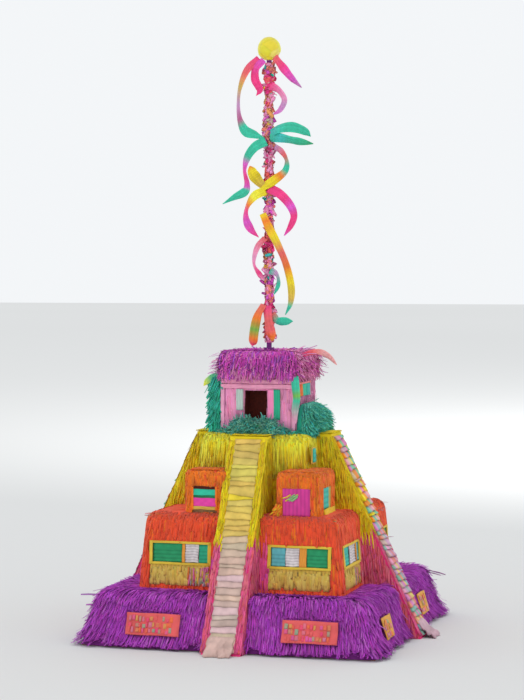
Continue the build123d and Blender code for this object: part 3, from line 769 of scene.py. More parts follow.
def middle_fringe():
    """Flat red-orange strips round the windows and the filling flap."""
    tower = MIDDLE
    side, v, s = tower.rows(tower.row_places(2, 7.0, 6.5, BASE_TOP + 4), 2.1)
    _, _, _, u, z = tower.at(side, v, s)
    keep = clear_of_stairs(u) & ~window_mask(side, u, z) & ~flap_mask(side, u, z)
    side, v, s, u, z = pick(keep, side, v, s, u, z)
    n = len(s)
    length = RNG.uniform(18, 34, n)
    over_window = within(np.abs(u), (WINDOW_U0, WINDOW_U1)) & (z >= WINDOW_Z1)
    length = np.where(over_window, cut_at(length, z, WINDOW_Z1, RNG.uniform(0.0, 3.5, n)), length)
    over_flap = (side == REAR) & within(u, FLAP_BAY) & (z >= TAPE_TOP - 1)
    length = np.where(over_flap, cut_at(length, z, TAPE_TOP, 0.0), length)
    length = np.maximum(cut_at(length, z, BASE_TOP + 1.5, RNG.uniform(0, 3, n)), 3.0)
    tops = s < tower.s_edge - 8
    lift = np.where(tops, RNG.uniform(1.6, 2.4, n), RNG.uniform(5.6, 6.1, n))
    flare = np.where(tops, RNG.uniform(0, 0.6, n), RNG.gamma(1.2, 0.2, n))
    nick = (RNG.random(n) < 0.012) & ~tops
    flare = np.where(nick, flare + RNG.uniform(2, 5, n), flare)
    colours = middle_colours(side, u, z, n)
    width = RNG.uniform(3.6, 6.0, n)
    strips = (side, v, s, length, width, lift, flare, RNG.normal(0, 0.5, n), RNG.normal(0, 0.05, n))
    corner_pieces("middle_fringe", tower, strips, colours, middle_skins(), CREPE)


def middle_skins():
    """Skins round the window panels and, at the rear, round the filling flap, for each corner."""
    tower = MIDDLE
    skins = [[], [], [], []]
    inner, near = STAIR_HALF / tower.half[0], (WINDOW_U0 - 1) / tower.half[0]
    for side in range(4):
        for sign in (-1, 1):
            flap = (side, sign) == (REAR, -1)
            outer = 0.985 if flap else 0.965
            above = tower.s_at(TAPE_TOP if flap else WINDOW_Z1)
            below = tower.s_at(FLAP_LOW[2] - 2 if flap else WINDOW_Z0)
            for v_range, s_range in (
                ((inner, 1.0), (0.0, above)),
                ((inner, 1.0), (below, tower.length)),
                ((inner, near), (above, below)),
                ((outer, 1.0), (above, below)),
            ):
                # RED_ORANGE * 0.94 paints shade on the skins under the strips.
                skin = tower.skin(side, mirrored(sign, *v_range), s_range, 4.4, 0.8, RED_ORANGE * 0.94)
                skins[(side + (sign > 0)) % 4].append(skin)
    return skins


def upper_fringe():
    """Long yellow strips that hang over the edge of the upper tier."""
    tower = UPPER
    side, v, s = tower.rows(tower.row_places(1, 5.0, 6.0, MIDDLE_TOP + 5), 2.0)
    _, _, _, u, z = tower.at(side, v, s)
    window = (side % 2 == 1) & within(u, SMALL_WINDOW_U) & within(z, SMALL_WINDOW_Z)
    side, v, s, u, z = pick(clear_of_stairs(u) & ~window, side, v, s, u, z)
    n = len(s)
    high = z > UPPER_TOP - 16
    length = np.where(high, RNG.uniform(34, 58, n), RNG.uniform(22, 36, n))
    left, right = SMALL_WINDOW_U
    over = (side % 2 == 1) & within(u, (left - 1, right + 1)) & (z >= SMALL_WINDOW_Z[1] - 1)
    length = np.where(over, cut_at(length, z, SMALL_WINDOW_Z[1], 1.0), length)
    length = np.maximum(cut_at(length, z, MIDDLE_TOP + 2, RNG.uniform(0, 3, n)), 3.0)
    lift = np.where(high, RNG.uniform(4.2, 5.4, n), RNG.uniform(4.0, 4.6, n))
    flare = np.where(high, RNG.gamma(1.6, 0.45, n), RNG.gamma(1.3, 0.2, n))
    colours = vary(YELLOW, n, 0.04, GOLD, 0.2)
    recolour(colours, high, LEMON, 0.05, YELLOW, 0.4)
    width = RNG.uniform(3.4, 5.6, n)
    strips = (side, v, s, length, width, lift, flare, RNG.normal(0, 0.9, n), RNG.normal(0, 0.1, n))
    # YELLOW * 0.97 paints shade on the skins under the strips.
    skins = corner_skins(tower, (0, tower.length), 3.0, YELLOW * 0.97)
    corner_pieces("upper_fringe", tower, strips, colours, skins, CREPE)


base_fringe()
stray_tips()
middle_fringe()
upper_fringe()


# ------------------------------------------------------------------ stairs


def ramp_colour(z, n, coral_share=0.3):
    """Yellow above the change of colour, hot pink below it, with a few strips of the other."""
    high = z + RNG.normal(0, 4, n) > RAMP_CHANGE_Z
    colours = vary(blend(HOT_PINK, PINK, 0.3), n, 0.04, CORAL, coral_share)
    coral = np.exp(-(((z - 120) / 26) ** 2)) * (RNG.random(n) < 0.6)
    colours = colours * (1 - coral[:, None]) + blend(PINK, CORAL, 0.7) * coral[:, None]
    recolour(colours, high, YELLOW, 0.05, GOLD, 0.45)
    return colours


def cheek_wall(z):
    """How far out the tier beside a stair cheek is, at height z."""
    upper = np.interp(z, [MIDDLE_TOP, UPPER_TOP], [UPPER_HALF, UPPER_TOP_HALF])
    return np.where(z <= BASE_TOP, base_half(z), np.where(z <= MIDDLE_TOP, middle_half(z), upper))


def cheek_strips(side, sign):
    """Strips that hang down one cheek of one stair."""
    rs, zs = [], []
    for z in np.arange(9.0, UPPER_TOP, 7.0):
        low, high = cheek_wall(z) + 1.0, stair_reach(z) - 1.0
        count = max(2, int((high - low) / 2.5))
        rs.append(low + (high - low) * (np.arange(count) + RNG.random(count)) / count)
        zs.append(z + RNG.normal(0, 2.0, count))
    r, z = np.concatenate(rs), np.clip(np.concatenate(zs), 6, UPPER_TOP - 1)
    n = len(r)
    root = local_to_world(side, sign * (STAIR_HALF + 0.4 + RNG.uniform(0, 1.0, n)), r, z)
    floor_of = np.where(z > MIDDLE_TOP, MIDDLE_TOP, np.where(z > BASE_TOP, BASE_TOP, 0.0))
    length = np.maximum(cut_at(RNG.uniform(18, 30, n), z, floor_of + 1.0, 0.0), 3.0)
    down, out = local_to_world(side, 0, 0.12, -1), local_to_world(side, sign, 0, 0)
    rings = tufts(root, down, out, length, (2.0, 3.2), (1.6, 0.8), 1.0, 0.3)
    return prisms(rings, ramp_colour(z, n, 0.3 if side in (FRONT, REAR) else 0.8))


def ramp_edge_strips(side):
    """Strips that lie along the two borders of the sloping board, beside the steps."""
    n = 520
    z = RNG.uniform(10, UPPER_TOP + 1, n)
    u = RNG.uniform(STEP_HALF - 1.0, STAIR_HALF + 0.8, n) * RNG.choice([-1, 1], n)
    root = local_to_world(side, u, stair_reach(z) + 0.3, z)
    down = local_to_world(side, RNG.normal(0, 8, n), STAIR_RUN, -UPPER_TOP)
    length = np.minimum(RNG.uniform(14, 30, n), (z - 2.5) * 1.05)
    out = local_to_world(side, 0, UPPER_TOP, STAIR_RUN)
    rings = tufts(root, down, out, length, (2.2, 3.4), (1.5, 0.5), 1.2, 0.3)
    return prisms(rings, ramp_colour(z, n), root_shade=0.92)


def landing_strips(side):
    """Strips that lie outward over the flat landing at the head of one stair."""
    n = 240
    u = RNG.uniform(-STAIR_HALF, STAIR_HALF, n)
    r = RNG.uniform(70, STAIR_HEAD - 6, n)
    root = local_to_world(side, u, r, UPPER_TOP + RNG.uniform(3.6, 4.8, n))
    outward = local_to_world(side, RNG.normal(0, 0.1, n), 1, 0)
    length = np.minimum(RNG.uniform(14, 24, n), STAIR_HEAD + 2 - r)
    width, flare = RNG.uniform(3.4, 5.4, n), RNG.uniform(0, 0.8, n)
    rings = free_strips(root, outward, UP, length, width, flare, stations=3)
    return prisms(rings, vary(YELLOW, n, 0.05, GOLD, 0.3))


def slope_place(side, u, distance, lift):
    """World points on a stair: distance up its slope from the floor, lift away from it."""
    r = STAIR_FOOT + (UPPER_TOP * lift - STAIR_RUN * distance) / STAIR_SLOPE
    z = (UPPER_TOP * distance + STAIR_RUN * lift) / STAIR_SLOPE
    return local_to_world(side, u, r, z)


def step_colours(side, z, pleats):
    """Colours across each pleat: creamy low down, khaki higher up, confetti at the sides."""
    wide = np.ones((1, STEP_COLUMNS, 1))
    low = vary(CREAM, pleats, 0.03, srgb(236, 200, 204), 0.3)[:, None] * wide
    high = vary(KHAKI, pleats, 0.03, YELLOW, 0.08)[:, None] * wide
    if side in (RIGHT, LEFT):
        patches = RNG.integers(0, len(CONFETTI), (pleats, 4))
        bits = CONFETTI[np.repeat(patches, (3, 3, 2, 3), axis=1)]
        high = bits * 0.78 + blend(YELLOW, KHAKI, 0.3) * 0.22
        low = bits * 0.6 + blend(low, LILAC, 0.3) * 0.4
    return np.where((z > RAMP_CHANGE_Z - 3)[:, None, None], high, low)


def pleated_steps(side):
    """Pleated paper: each fold laps over the one below it, a little crooked, with painted shade in its
    creases.
    """
    pleats = 34
    across = np.linspace(-1, 1, STEP_COLUMNS)
    edges = np.linspace(4.0, STAIR_SLOPE - 1.5, pleats + 1)
    edges[1:-1] += RNG.normal(0, 1.5, pleats - 1)
    tilt = RNG.normal(0, 1.2, pleats + 1)
    tilt[0] = tilt[-1] = 0.0
    lip = RNG.uniform(*((3.6, 6.2) if side in (RIGHT, LEFT) else (1.8, 2.8)), pleats)
    wave = RNG.uniform(0, 6.28, pleats)
    colours = step_colours(side, edges[:-1] * UPPER_TOP / STAIR_SLOPE, pleats)
    distances, lifts, shades = [], [], []
    for k in range(pleats):
        low = edges[k] + tilt[k] * across + 0.5 * np.sin(across * 5 + wave[k])
        high = edges[k + 1] + tilt[k + 1] * across
        # tone is painted shade and light across each pleat: dark in the crease under the fold above, lighter
        # on its face, darker at its lower edge.
        for share, lift, tone in (
            (0.0, 1.1, 0.45),
            (0.02, lip[k], 0.98),
            (0.3, lip[k] * 0.85 + 0.2, 1.04),
            (0.7, lip[k] * 0.55 + 0.5, 1.02),
            (0.98, 1.5, 0.88),
        ):
            crumple = 0.3 * np.sin(across * 9 + wave[k] * 3 + share * 7)
            lifts.append(lift + crumple * (0 < share < 0.98))
            distances.append(low + (high - low) * share)
            shades.append(colours[k] * tone * (1 + 0.03 * np.sin(across * 4 + wave[k]))[:, None])
    distance = np.array(distances)
    u = across[None, :] * (STEP_HALF + 0.9 * np.sin(np.arange(len(distance)) * 0.9)[:, None])
    front = slope_place(side, u, distance, np.array(lifts))
    return closed_sheet(front, slope_place(side, u, distance, 0.25), np.array(shades))


def foot_paper(side):
    """The end of the step paper, crumpled where it spreads out on the floor."""
    a = np.linspace(-1, 1, 15)[None, :]
    b = np.linspace(0, 1, 11)[:, None]
    bump = RNG.normal(0, 1.0, (11, 15))
    bump = (bump + np.roll(bump, 1, 0) + np.roll(bump, 1, 1)) / 1.7
    u = a * (STEP_HALF + b) + 1.3 * bump
    run = STAIR_FOOT - 9 + (29 + 2.5 * np.sin(a * 6)) * b
    z = 22 * (1 - b) ** 1.6 + 4.5 + 1.8 * bump * b
    z = np.where(b > 0.95, 1.2, z)
    front = local_to_world(side, u, run, np.maximum(z, 1.2))
    back = local_to_world(side, u, run - 1.5, np.maximum(z - 1.6, 0.4))
    # Painted light and shade: the colour is lighter on the raised crumples and darker in their hollows.
    tone = (1 + 0.05 * bump)[..., None]
    pale = blend(CREAM, PINK, 0.12) if side in (FRONT, REAR) else blend(CREAM, LILAC, 0.45)
    return closed_sheet(front, back, pale * tone)


for index, name in enumerate(SIDES):
    make_piece(
        f"{name}_stair_fringe",
        [cheek_strips(index, -1), cheek_strips(index, 1), ramp_edge_strips(index), landing_strips(index)],
        CREPE,
    )
    steps = [pleated_steps(index), foot_paper(index)]
    make_piece(f"{name}_stair_pleats", steps, PLEATED, [f"{name}_stair_steps"])


# ------------------------------------------------------------------ paper panels


def panel(side, u, z, r, thick, colour, pleats=0, depth=0.0, upright=False, warp=0.4, columns=12, rows=12):
    """Closed paper panel. r is its distance, or that at its bottom and top; pleats make slats or ribs."""
    r = np.broadcast_to(r, 2)
    a = np.linspace(0, 1, (pleats * 3 if pleats and upright else columns) + 1)[None, :]
    b = np.linspace(0, 1, (pleats * 3 if pleats and not upright else rows) + 1)[:, None]
    grid = np.zeros((len(b), a.shape[1]))
    phase = RNG.uniform(0, 6.28, 4)
    uu = grid + u[0] + (u[1] - u[0]) * a + 0.35 * warp * np.sin(b * 7 + phase[0])
    zz = grid + z[0] + (z[1] - z[0]) * b + 0.35 * warp * np.sin(a * 8 + phase[1])
    rr = grid + r[0] + (r[1] - r[0]) * b + warp * np.sin(a * 3 + phase[2]) * np.sin(b * 2.5 + phase[3])
    tone = 1 + 0.07 * np.sin(a * 17 + phase[0]) * np.sin(b * 9 + phase[1])
    ridge = grid
    if pleats:
        ridge = grid + depth * (0.5 + 0.5 * np.sin(a * pleats * 6.28) if upright else (1 - b) * pleats % 1.0)
        # Pleat valleys are painted 0.22 darker: painted shade in the creases.
        tone = tone - 0.22 * (ridge < depth * 0.2)
    front, back = local_to_world(side, uu, rr + thick + ridge, zz), local_to_world(side, uu, rr, zz)
    return closed_sheet(front, back, np.clip(np.asarray(colour) * tone[..., None], 0, 1))


def panels(side, rows, **more):
    """Several panels of one side: each row is (u, z, r, thickness, colour)."""
    return [panel(side, *row, **more) for row in rows]


def wall_r(z, lift):
    """Distance of the middle tier's paper surface at the two heights of a panel."""
    return middle_half(z) + lift


def window_pieces():
    """Yellow frame, green and teal shutters, white pleated blind, orange post, ochre apron."""
    frames, shutters, blinds, posts, aprons = [], [], [], [], []
    z0, sill, z1 = WINDOW_Z0, WINDOW_SILL, WINDOW_Z1
    blue, frame_colour = blend(CYAN, MAGENTA, 0.12), blend(YELLOW, OCHRE, 0.65)
    for side, sign in window_bays():
        for u, z in (
            ((WINDOW_U0, WINDOW_U1), (z1 - 3.5, z1)),
            ((WINDOW_U0, WINDOW_U1), (sill - 1.5, sill + 2.0)),
            ((WINDOW_U1 - 5.0, WINDOW_U1), (sill, z1)),
            ((WINDOW_U0, WINDOW_U0 + 5.0), (sill, z1)),
        ):
            frames.append(panel(side, mirrored(sign, *u), z, wall_r(z, 5.2), 2.0, frame_colour, warp=0.5))
        if sign > 0:
            slats = (((50.5, 72.5), blue), ((106.0, 138.5), GREEN))
            blind, post = (73.0, 94.0), (94.5, 105.5)
        elif side in (FRONT, REAR):
            slats = (((44.0, 64.5), blend(TEAL, GREEN, 0.5)), ((92.0, 138.5), GREEN))
            blind, post = (65.0, 86.5), (87.0, 91.5)
        else:
            slats = (((44.0, 62.0), blue), ((108.0, 139.0), blend(TEAL, CYAN, 0.5)))
            blind, post = (66.0, 104.0), (62.5, 65.5)
        z = (sill + 2.0, z1 - 3.2)
        r = wall_r(z, 3.6)
        for u, colour in slats:
            shutters.append(panel(side, mirrored(sign, *u), z, r, 0.8, colour, pleats=5, depth=0.8))
        blinds.append(panel(side, mirrored(sign, *blind), z, r, 1.0, WHITE, pleats=7, depth=1.8, warp=1.2))
        posts.append(panel(side, mirrored(sign, *post), z, r + 0.8, 1.4, blend(ORANGE, OCHRE, 0.5), warp=0.6))
        z = (z0, sill - 1.5)
        u = mirrored(sign, WINDOW_U0 + 1, WINDOW_U1 - 1)
        ribs = (u, z, wall_r(z, 4.2), 1.2, OCHRE)
        aprons.append(panel(side, *ribs, pleats=16, depth=0.4, upright=True, warp=0.7))
        aprons.append(apron_scraps(side, sign))
    for part, shape, chunks, material, slot in (
        ("frame", "strips", frames, SMOOTH, "ochre_paper"),
        ("shutter", "slats", shutters, SMOOTH, "green_paper"),
        ("blind", "pleats", blinds, PLEATED, "white_paper"),
        ("post", "strips", posts, SMOOTH, "orange_paper"),
        ("apron", "ribs", aprons, CREPE, "ochre_paper"),
    ):
        make_piece(f"window_{part}_{shape}", chunks, material, [f"window_{part}s"])


def apron_scraps(side, sign):
    """Wide strips over an apron: ochre ones all along, mixed colours at its stair end."""
    n = 130
    u = sign * RNG.uniform(WINDOW_U0 + 3, WINDOW_U1 - 4, n)
    z = RNG.uniform(WINDOW_Z0 + 6, WINDOW_SILL - 3, n)
    root = local_to_world(side, u, middle_half(z) + 5.6 + RNG.uniform(0, 0.4, n), z)
    out = local_to_world(side, 0, 1, 0)
    down = local_to_world(side, RNG.normal(0, 0.03, n), 0.085, -1)
    mixed = (np.abs(u) < WINDOW_U0 + 38) & (RNG.random(n) < 0.8) & (sign < 0)
    length = np.minimum(RNG.uniform(8, 22, n), z - WINDOW_Z0 + 3)
    width = np.where(mixed, RNG.uniform(2, 4, n), RNG.uniform(5, 9, n))
    rings = free_strips(root, down, out, length, width, np.where(mixed, 0.8, 0.1), RNG.normal(0, 0.3, n))
    colours = vary(OCHRE, n, 0.02, KHAKI, 0.5)
    bits = CONFETTI[RNG.integers(0, len(CONFETTI), int(mixed.sum()))]
    colours[mixed] = blend(bits, blend(CORAL, OCHRE, 0.5), 0.4 * np.ones(len(bits)))
    return prisms(rings, colours, root_shade=0.97, tip_shade=1.0)


def plaque_pieces():
    """Coral plaques with rows of small coloured paper tiles, set in the base fringe."""
    chunks = []
    z = np.array([PLAQUE_LOW, PLAQUE_HIGH])
    for side in range(4):
        width, centres = PLAQUES[side % 2]
        ground = CORAL if side in (FRONT, REAR) else blend(OCHRE, ORANGE, 0.35)
        for centre in centres:
            u0, u1 = centre - width / 2, centre + width / 2
            chunks.append(panel(side, (u0, u1), z, base_half(z) + 10.5, 1.6, ground, warp=0.9))
            for column in range(int((width - 10) / 5.4)):
                for row in range(3):
                    if RNG.random() < 0.2:
                        continue
                    low_u = u0 + 4.5 + column * 5.4 + RNG.normal(0, 0.6)
                    low_z = z[0] + 3.5 + row * 8.4 + RNG.normal(0, 0.8)
                    tile_z = np.array([low_z, low_z + RNG.uniform(5, 8.5)])
                    tile_r = base_half(tile_z) + 12.6
                    mix = (HOT_PINK, CORAL, TEAL, ORANGE, MAGENTA, LILAC, OCHRE)[RNG.integers(0, 7)]
                    colour = blend(mix, ground, RNG.uniform(0.35, 0.75))
                    tile = (low_u, low_u + RNG.uniform(3, 5.5))
                    chunks.append(panel(side, tile, tile_z, tile_r, 0.6, colour, columns=3, rows=3, warp=0.3))
    make_piece("base_plaque_tiles", chunks, SMOOTH, ["base_plaques"])


window_pieces()
plaque_pieces()


# ------------------------------------------------------------------ houses


def house_tower(node):
    """A house's surface, from the middle of its roof to its foot."""
    low, high = cad_box(node)
    half, centre = (high - low) / 2, (high + low) / 2
    path = ((min(half[:2]) - 4.0, high[2]), (0.0, high[2]), (0.0, low[2]))
    return Tower(half[0], half[1], path, 4.0, 4.0, centre[:2])


def house_fringe():
    """Short orange strips on the four houses, round their doors and windows."""
    chunks = []
    for corner in CORNERS:
        name = f"{corner}_house"
        tower = house_tower(name)
        face = FRONT if name.startswith("front") else REAR
        side, v, s = tower.rows(tower.row_places(1, 5.0, 5.5, MIDDLE_TOP + 4), 2.1)
        point, _, _, _, z = tower.at(side, v, s)
        x, y = np.abs(point[:, 0]), np.abs(point[:, 1])
        in_tier = x < UPPER_HALF - 3
        buried = in_tier & (y < UPPER_HALF - 3)
        buried |= (side == (face + 2) % 4) & in_tier & (z < tower.path[1, 1] - 3)
        beside = (x > HOUSE_SIDE_X) & (side % 2 == 1) & within(y, HOUSE_SIDE_WINDOW)
        facing = (side == face) & house_opening(name, point[:, 0])
        window = facing & within(z, HOUSE_OPENING_Z)
        window |= beside & within(z, HOUSE_SIDE_Z)
        side, v, s, z, beside, facing = pick(~buried & ~window, side, v, s, z, beside, facing)
        n = len(s)
        over = (facing & (z >= HOUSE_OPENING_Z[1])) | (beside & (z >= HOUSE_SIDE_Z[1]))
        to_opening = cut_at(RNG.uniform(16, 26, n), z, HOUSE_OPENING_Z[1], 1.0)
        length = np.where(over, to_opening, RNG.uniform(16, 28, n))
        length = np.maximum(cut_at(length, z, MIDDLE_TOP + 2, RNG.uniform(0, 2, n)), 2.5)
        width, lift, flare = RNG.uniform(3.2, 5.2, n), RNG.uniform(3.2, 3.8, n), RNG.gamma(1.2, 0.25, n)
        sway, twist = RNG.normal(0, 0.5, n), RNG.normal(0, 0.06, n)
        rings = tower.strips(side, v, s, length, width, lift, flare, sway, twist)
        chunks.append(prisms(rings, vary(ORANGE, n, 0.04, RED_ORANGE, 0.25)))
        chunks += house_skins(tower, name, face)
        chunks.append(house_cap(tower, face))
    make_piece("house_fringe_strips", chunks, CREPE, ["house_fringe"])


def house_cap(tower, face):
    """Strips across the middle of a house's roof, where the rows from its edges meet."""
    n = 280
    forward = 1.0 if face == 0 else -1.0
    x = tower.centre[0] + RNG.uniform(-1, 1, n) * (tower.half[0] - 6)
    y = tower.centre[1] + forward * RNG.uniform(16 - tower.half[1], tower.half[1] - 5, n)
    x, y = pick((np.abs(x) > UPPER_HALF - 8) | (np.abs(y) > UPPER_HALF - 8), x, y)
    n = len(x)
    root = np.stack([x, y, tower.path[0, 1] + RNG.uniform(3.4, 4.4, n)], 1)
    down = np.stack([RNG.normal(0, 0.12, n), np.full(n, -forward), np.zeros(n)], 1)
    length, width, twist = RNG.uniform(13, 19, n), RNG.uniform(4.0, 6.0, n), RNG.normal(0, 0.06, n)
    rings = free_strips(root, down, UP, length, width, 0.0, twist=twist, stations=3)
    return prisms(rings, vary(ORANGE, n, 0.04, RED_ORANGE, 0.25))


def house_skins(tower, name, face):
    """Paper skins on a house's roof and walls, leaving its openings free."""
    edge, foot = tower.s_edge + 4, tower.length - 1
    left_side, right_side = (face - 1) % 4, (face + 1) % 4
    shown = (face, left_side, right_side)
    areas = [(side, (-1, 1), (0.0, edge), 26) for side in shown]
    areas.append((face, (-1, 1), (edge, tower.s_at(HOUSE_SIDE_Z[1])), 26))
    areas += [(side, v, (edge, foot), 12) for side in shown for v in ((-1.0, -0.72), (0.72, 1.0))]
    if name not in DOOR_HOUSES:
        areas.append((left_side, (-0.72, 0.72), (edge, foot), 26))
    # ORANGE * 0.94 paints shade on the skins under the strips.
    return [tower.skin(side, v, s, 2.4, 0.6, ORANGE * 0.94, columns=columns) for side, v, s, columns in areas]


def house_opening(name, x):
    """Where a house's door or window is, along the house's front."""
    limits = HOUSE_DOOR_U if name in DOOR_HOUSES else HOUSE_WINDOW_U
    return within(x if name.startswith("front") else -x, limits)


def house_openings():
    """Doors and windows of the houses, as small pleated panels."""
    front_r = -cad_box("house_doors")[0][1] - 1.5
    side_r = cad_box("house_side_windows")[1][0] + 0.2
    doors, windows, sides = [], [], []
    magenta = blend(HOT_PINK, MAGENTA, 0.45) * 0.82
    for side in (FRONT, REAR):
        door = ((64.0, 106.5), (196.0, 238.0), front_r + 1.0, 1.0, magenta)
        doors.append(panel(side, *door, pleats=7, depth=0.3, upright=True))
        for low, high, colour in (
            (202.0, 207.0, OCHRE),
            (207.0, 220.0, blend(HOT_PINK, MAGENTA, 0.5)),
            (220.0, 224.0, GREEN * 0.6),
            (224.0, 233.5, TEAL),
            # The dark red band at the top is painted shadow under the top of the opening.
            (233.5, 237.5, DARK_RED * 0.8),
        ):
            windows.append(panel(side, (-80.0, -42.0), (low, high), front_r + 1.0, 1.2, colour, warp=0.8))
        for u in ((-81.5, -78.5), (-43.5, -40.5)):
            windows.append(panel(side, u, (201.0, 238.0), front_r + 1.6, 1.4, ORANGE))
    for side in (RIGHT, LEFT):
        slats = ((-119.0, -90.0), (206.0, 239.0), side_r, 1.4, blend(CYAN, TEAL, 0.4))
        sides.append(panel(side, *slats, pleats=4, depth=0.8))
        sides.append(panel(side, (-90.0, -79.0), (204.0, 239.0), side_r, 1.6, blend(OCHRE, GREEN, 0.25)))
        sill_r = (side_r + 2.4, side_r + 1.4)
        sill = ((-120.0, -60.0), (196.5, 205.0), sill_r, 2.4, blend(YELLOW, OCHRE, 0.4))
        sides.append(panel(side, *sill, warp=1.0))
    doors += door_tassel(FRONT, front_r + 2.0) + door_tassel(REAR, front_r + 2.0)
    make_piece("house_door_panels", doors, SMOOTH, ["house_doors"])
    make_piece("house_window_panels", windows, SMOOTH, ["house_windows"])
    make_piece("house_side_window_panels", sides, SMOOTH, ["house_side_windows"])


def door_tassel(side, r):
    """Teal and yellow scraps at the top corner of a door, and an orange tassel at its foot."""
    chunks = []
    leaf_colours = (blend(TEAL, YELLOW, 0.3), blend(YELLOW, OCHRE, 0.3))
    for n, u, z, lean, size, colours in (
        (12, (70, 88), (222, 230), (0.8, 1.8), (5, 12), leaf_colours),
        (48, (53, 63), (202, 215), (0.1, 0.7), (6, 13), (ORANGE, GOLD)),
    ):
        root = local_to_world(side, RNG.uniform(*u, n), r + RNG.uniform(0.0, 1.6, n), RNG.uniform(*z, n))
        down = local_to_world(side, -RNG.uniform(*lean, n), RNG.uniform(0, 0.1, n), -RNG.uniform(0.3, 1.0, n))
        out = local_to_world(side, 0, 1, 0)
        length = np.minimum(RNG.uniform(*size, n), root[:, 2] - MIDDLE_TOP - 1)
        rings = free_strips(root, down, out, length, RNG.uniform(1.8, 3.2, n), RNG.uniform(0, 1.5, n))
        chunks.append(prisms(rings, np.where(RNG.random((n, 1)) < 0.5, *colours), root_shade=0.95))
    return chunks


def upper_window_panels():
    """Small teal windows with an ochre frame, in the two sides of the upper tier."""
    r = cad_box("upper_windows")[1][0] - 1.2
    chunks = []
    teal = blend(CYAN, TEAL, 0.4)
    for side in (RIGHT, LEFT):
        chunks.append(panel(side, (-86.0, -65.0), (271.0, 296.0), (r + 0.4, r), 1.6, OCHRE, warp=0.6))
        slats = ((-83.0, -70.0), (273.0, 294.5), (r + 2.2, r + 1.8), 1.0, teal)
        chunks.append(panel(side, *slats, pleats=3, depth=0.8))
    make_piece("upper_window_panels", chunks, SMOOTH, ["upper_windows"])


house_fringe()
house_openings()
upper_window_panels()


# ------------------------------------------------------------------ temple


def temple_walls_paper():
    """Smooth pink strips on the front, shaggier ones on the other faces."""
    tower = TEMPLE
    side, v, s = tower.rows(np.arange(tower.s_at(ROOF_Z - 14), tower.s_at(UPPER_TOP + 12), 8.0), 2.4)
    _, _, _, u, z = tower.at(side, v, s)
    doorway = (side == FRONT) & within(u, (DOOR_LEFT - 1, DOOR_RIGHT + 1)) & (z < DOOR_TOP + 1)
    side, v, s, u, z = pick(~doorway, side, v, s, u, z)
    n = len(s)
    front = side == FRONT
    length = np.where(front, RNG.uniform(26, 44, n), RNG.uniform(18, 34, n))
    over_door = front & within(u, (DOOR_LEFT - 2, DOOR_RIGHT + 2)) & (z > DOOR_TOP)
    length = np.where(over_door, cut_at(length, z, DOOR_TOP, 0.5), length)
    length = np.maximum(cut_at(length, z, UPPER_TOP + 2, RNG.uniform(0, 2, n)), 3.0)
    flare = np.where(front, RNG.gamma(1.2, 0.1, n), RNG.gamma(1.6, 0.6, n))
    colours = vary(PINK, n, 0.02, blend(PINK, HOT_PINK, 0.3), 0.15)
    width = np.where(front, RNG.uniform(5.5, 9.0, n), RNG.uniform(3.0, 4.6, n))
    lift, sway, twist = RNG.uniform(1.5, 1.9, n), RNG.normal(0, 0.3, n), RNG.normal(0, 0.08, n)
    rings = tower.strips(side, v, s, length, width, lift, flare, sway, twist)
    chunks = [prisms(rings, colours, root_shade=0.94, tip_shade=1.0)]
    top, door_top, foot = tower.s_at(ROOF_Z - 6), tower.s_at(DOOR_TOP), tower.length - 1
    for index, v_range, s_range in (
        (RIGHT, (-1, 1), (top, foot)),
        (REAR, (-1, 1), (top, foot)),
        (LEFT, (-1, 1), (top, foot)),
        (FRONT, (-1, 1), (top, door_top)),
        (FRONT, (-1, DOOR_LEFT / tower.half[0]), (door_top, foot)),
        (FRONT, (DOOR_RIGHT / tower.half[0], 1), (door_top, foot)),
    ):
        # PINK * 0.97 paints shade on the skins under the strips.
        chunks.append(tower.skin(index, v_range, s_range, 0.7, 0.5, PINK * 0.97))
    lintel = blend(PINK, CREAM, 0.2)
    for low in (384.0, 392.0):
        chunks.append(panel(FRONT, (-60.0, 60.0), (low, low + 6.5), 61.6, 0.9, lintel, warp=0.7, columns=24))
    post, post_z = blend(PINK, WHITE, 0.2), (UPPER_TOP + 4, 384.0)
    for u in ((-60.5, -55.0), (54.5, 60.5)):
        chunks.append(panel(FRONT, u, post_z, 61.0, 0.8, post, warp=0.6))
    make_piece("temple_wall_paper", chunks, CREPE)
    jambs = (
        ((-35.0, -23.5), (350.0, 383.0), 62.0, 0.8, blend(WHITE, TEAL, 0.3)),
        ((26.0, 36.5), (336.0, 383.0), 62.0, 0.8, blend(TEAL, GREEN, 0.4)),
    )
    strips = panels(FRONT, jambs, pleats=3, depth=0.5, upright=True)
    strips.append(panel(FRONT, (16.5, 26.0), (336.0, 383.0), 62.0, 0.8, blend(PINK, HOT_PINK, 0.2), warp=0.5))
    make_piece("doorway_side_strips", strips, SMOOTH, ["doorway_strips"])
    pale_teal = blend(TEAL, CYAN, 0.6)
    bands = (((-56, -40), RED_ORANGE), ((-40, -30), ORANGE), ((-30, -8), TEAL), ((-8, 14), pale_teal))
    rows = [(u, (372.0, 391.0), (63.0, 62.4), 1.0, colour) for u, colour in bands]
    band = panels(RIGHT, rows, pleats=2, depth=0.6, upright=True)
    band.append(panel(RIGHT, (-58.0, 16.0), (391.0, 394.0), 63.4, 1.2, blend(ORANGE, PINK, 0.4), warp=0.6))
    make_piece("temple_side_band", band, SMOOTH)


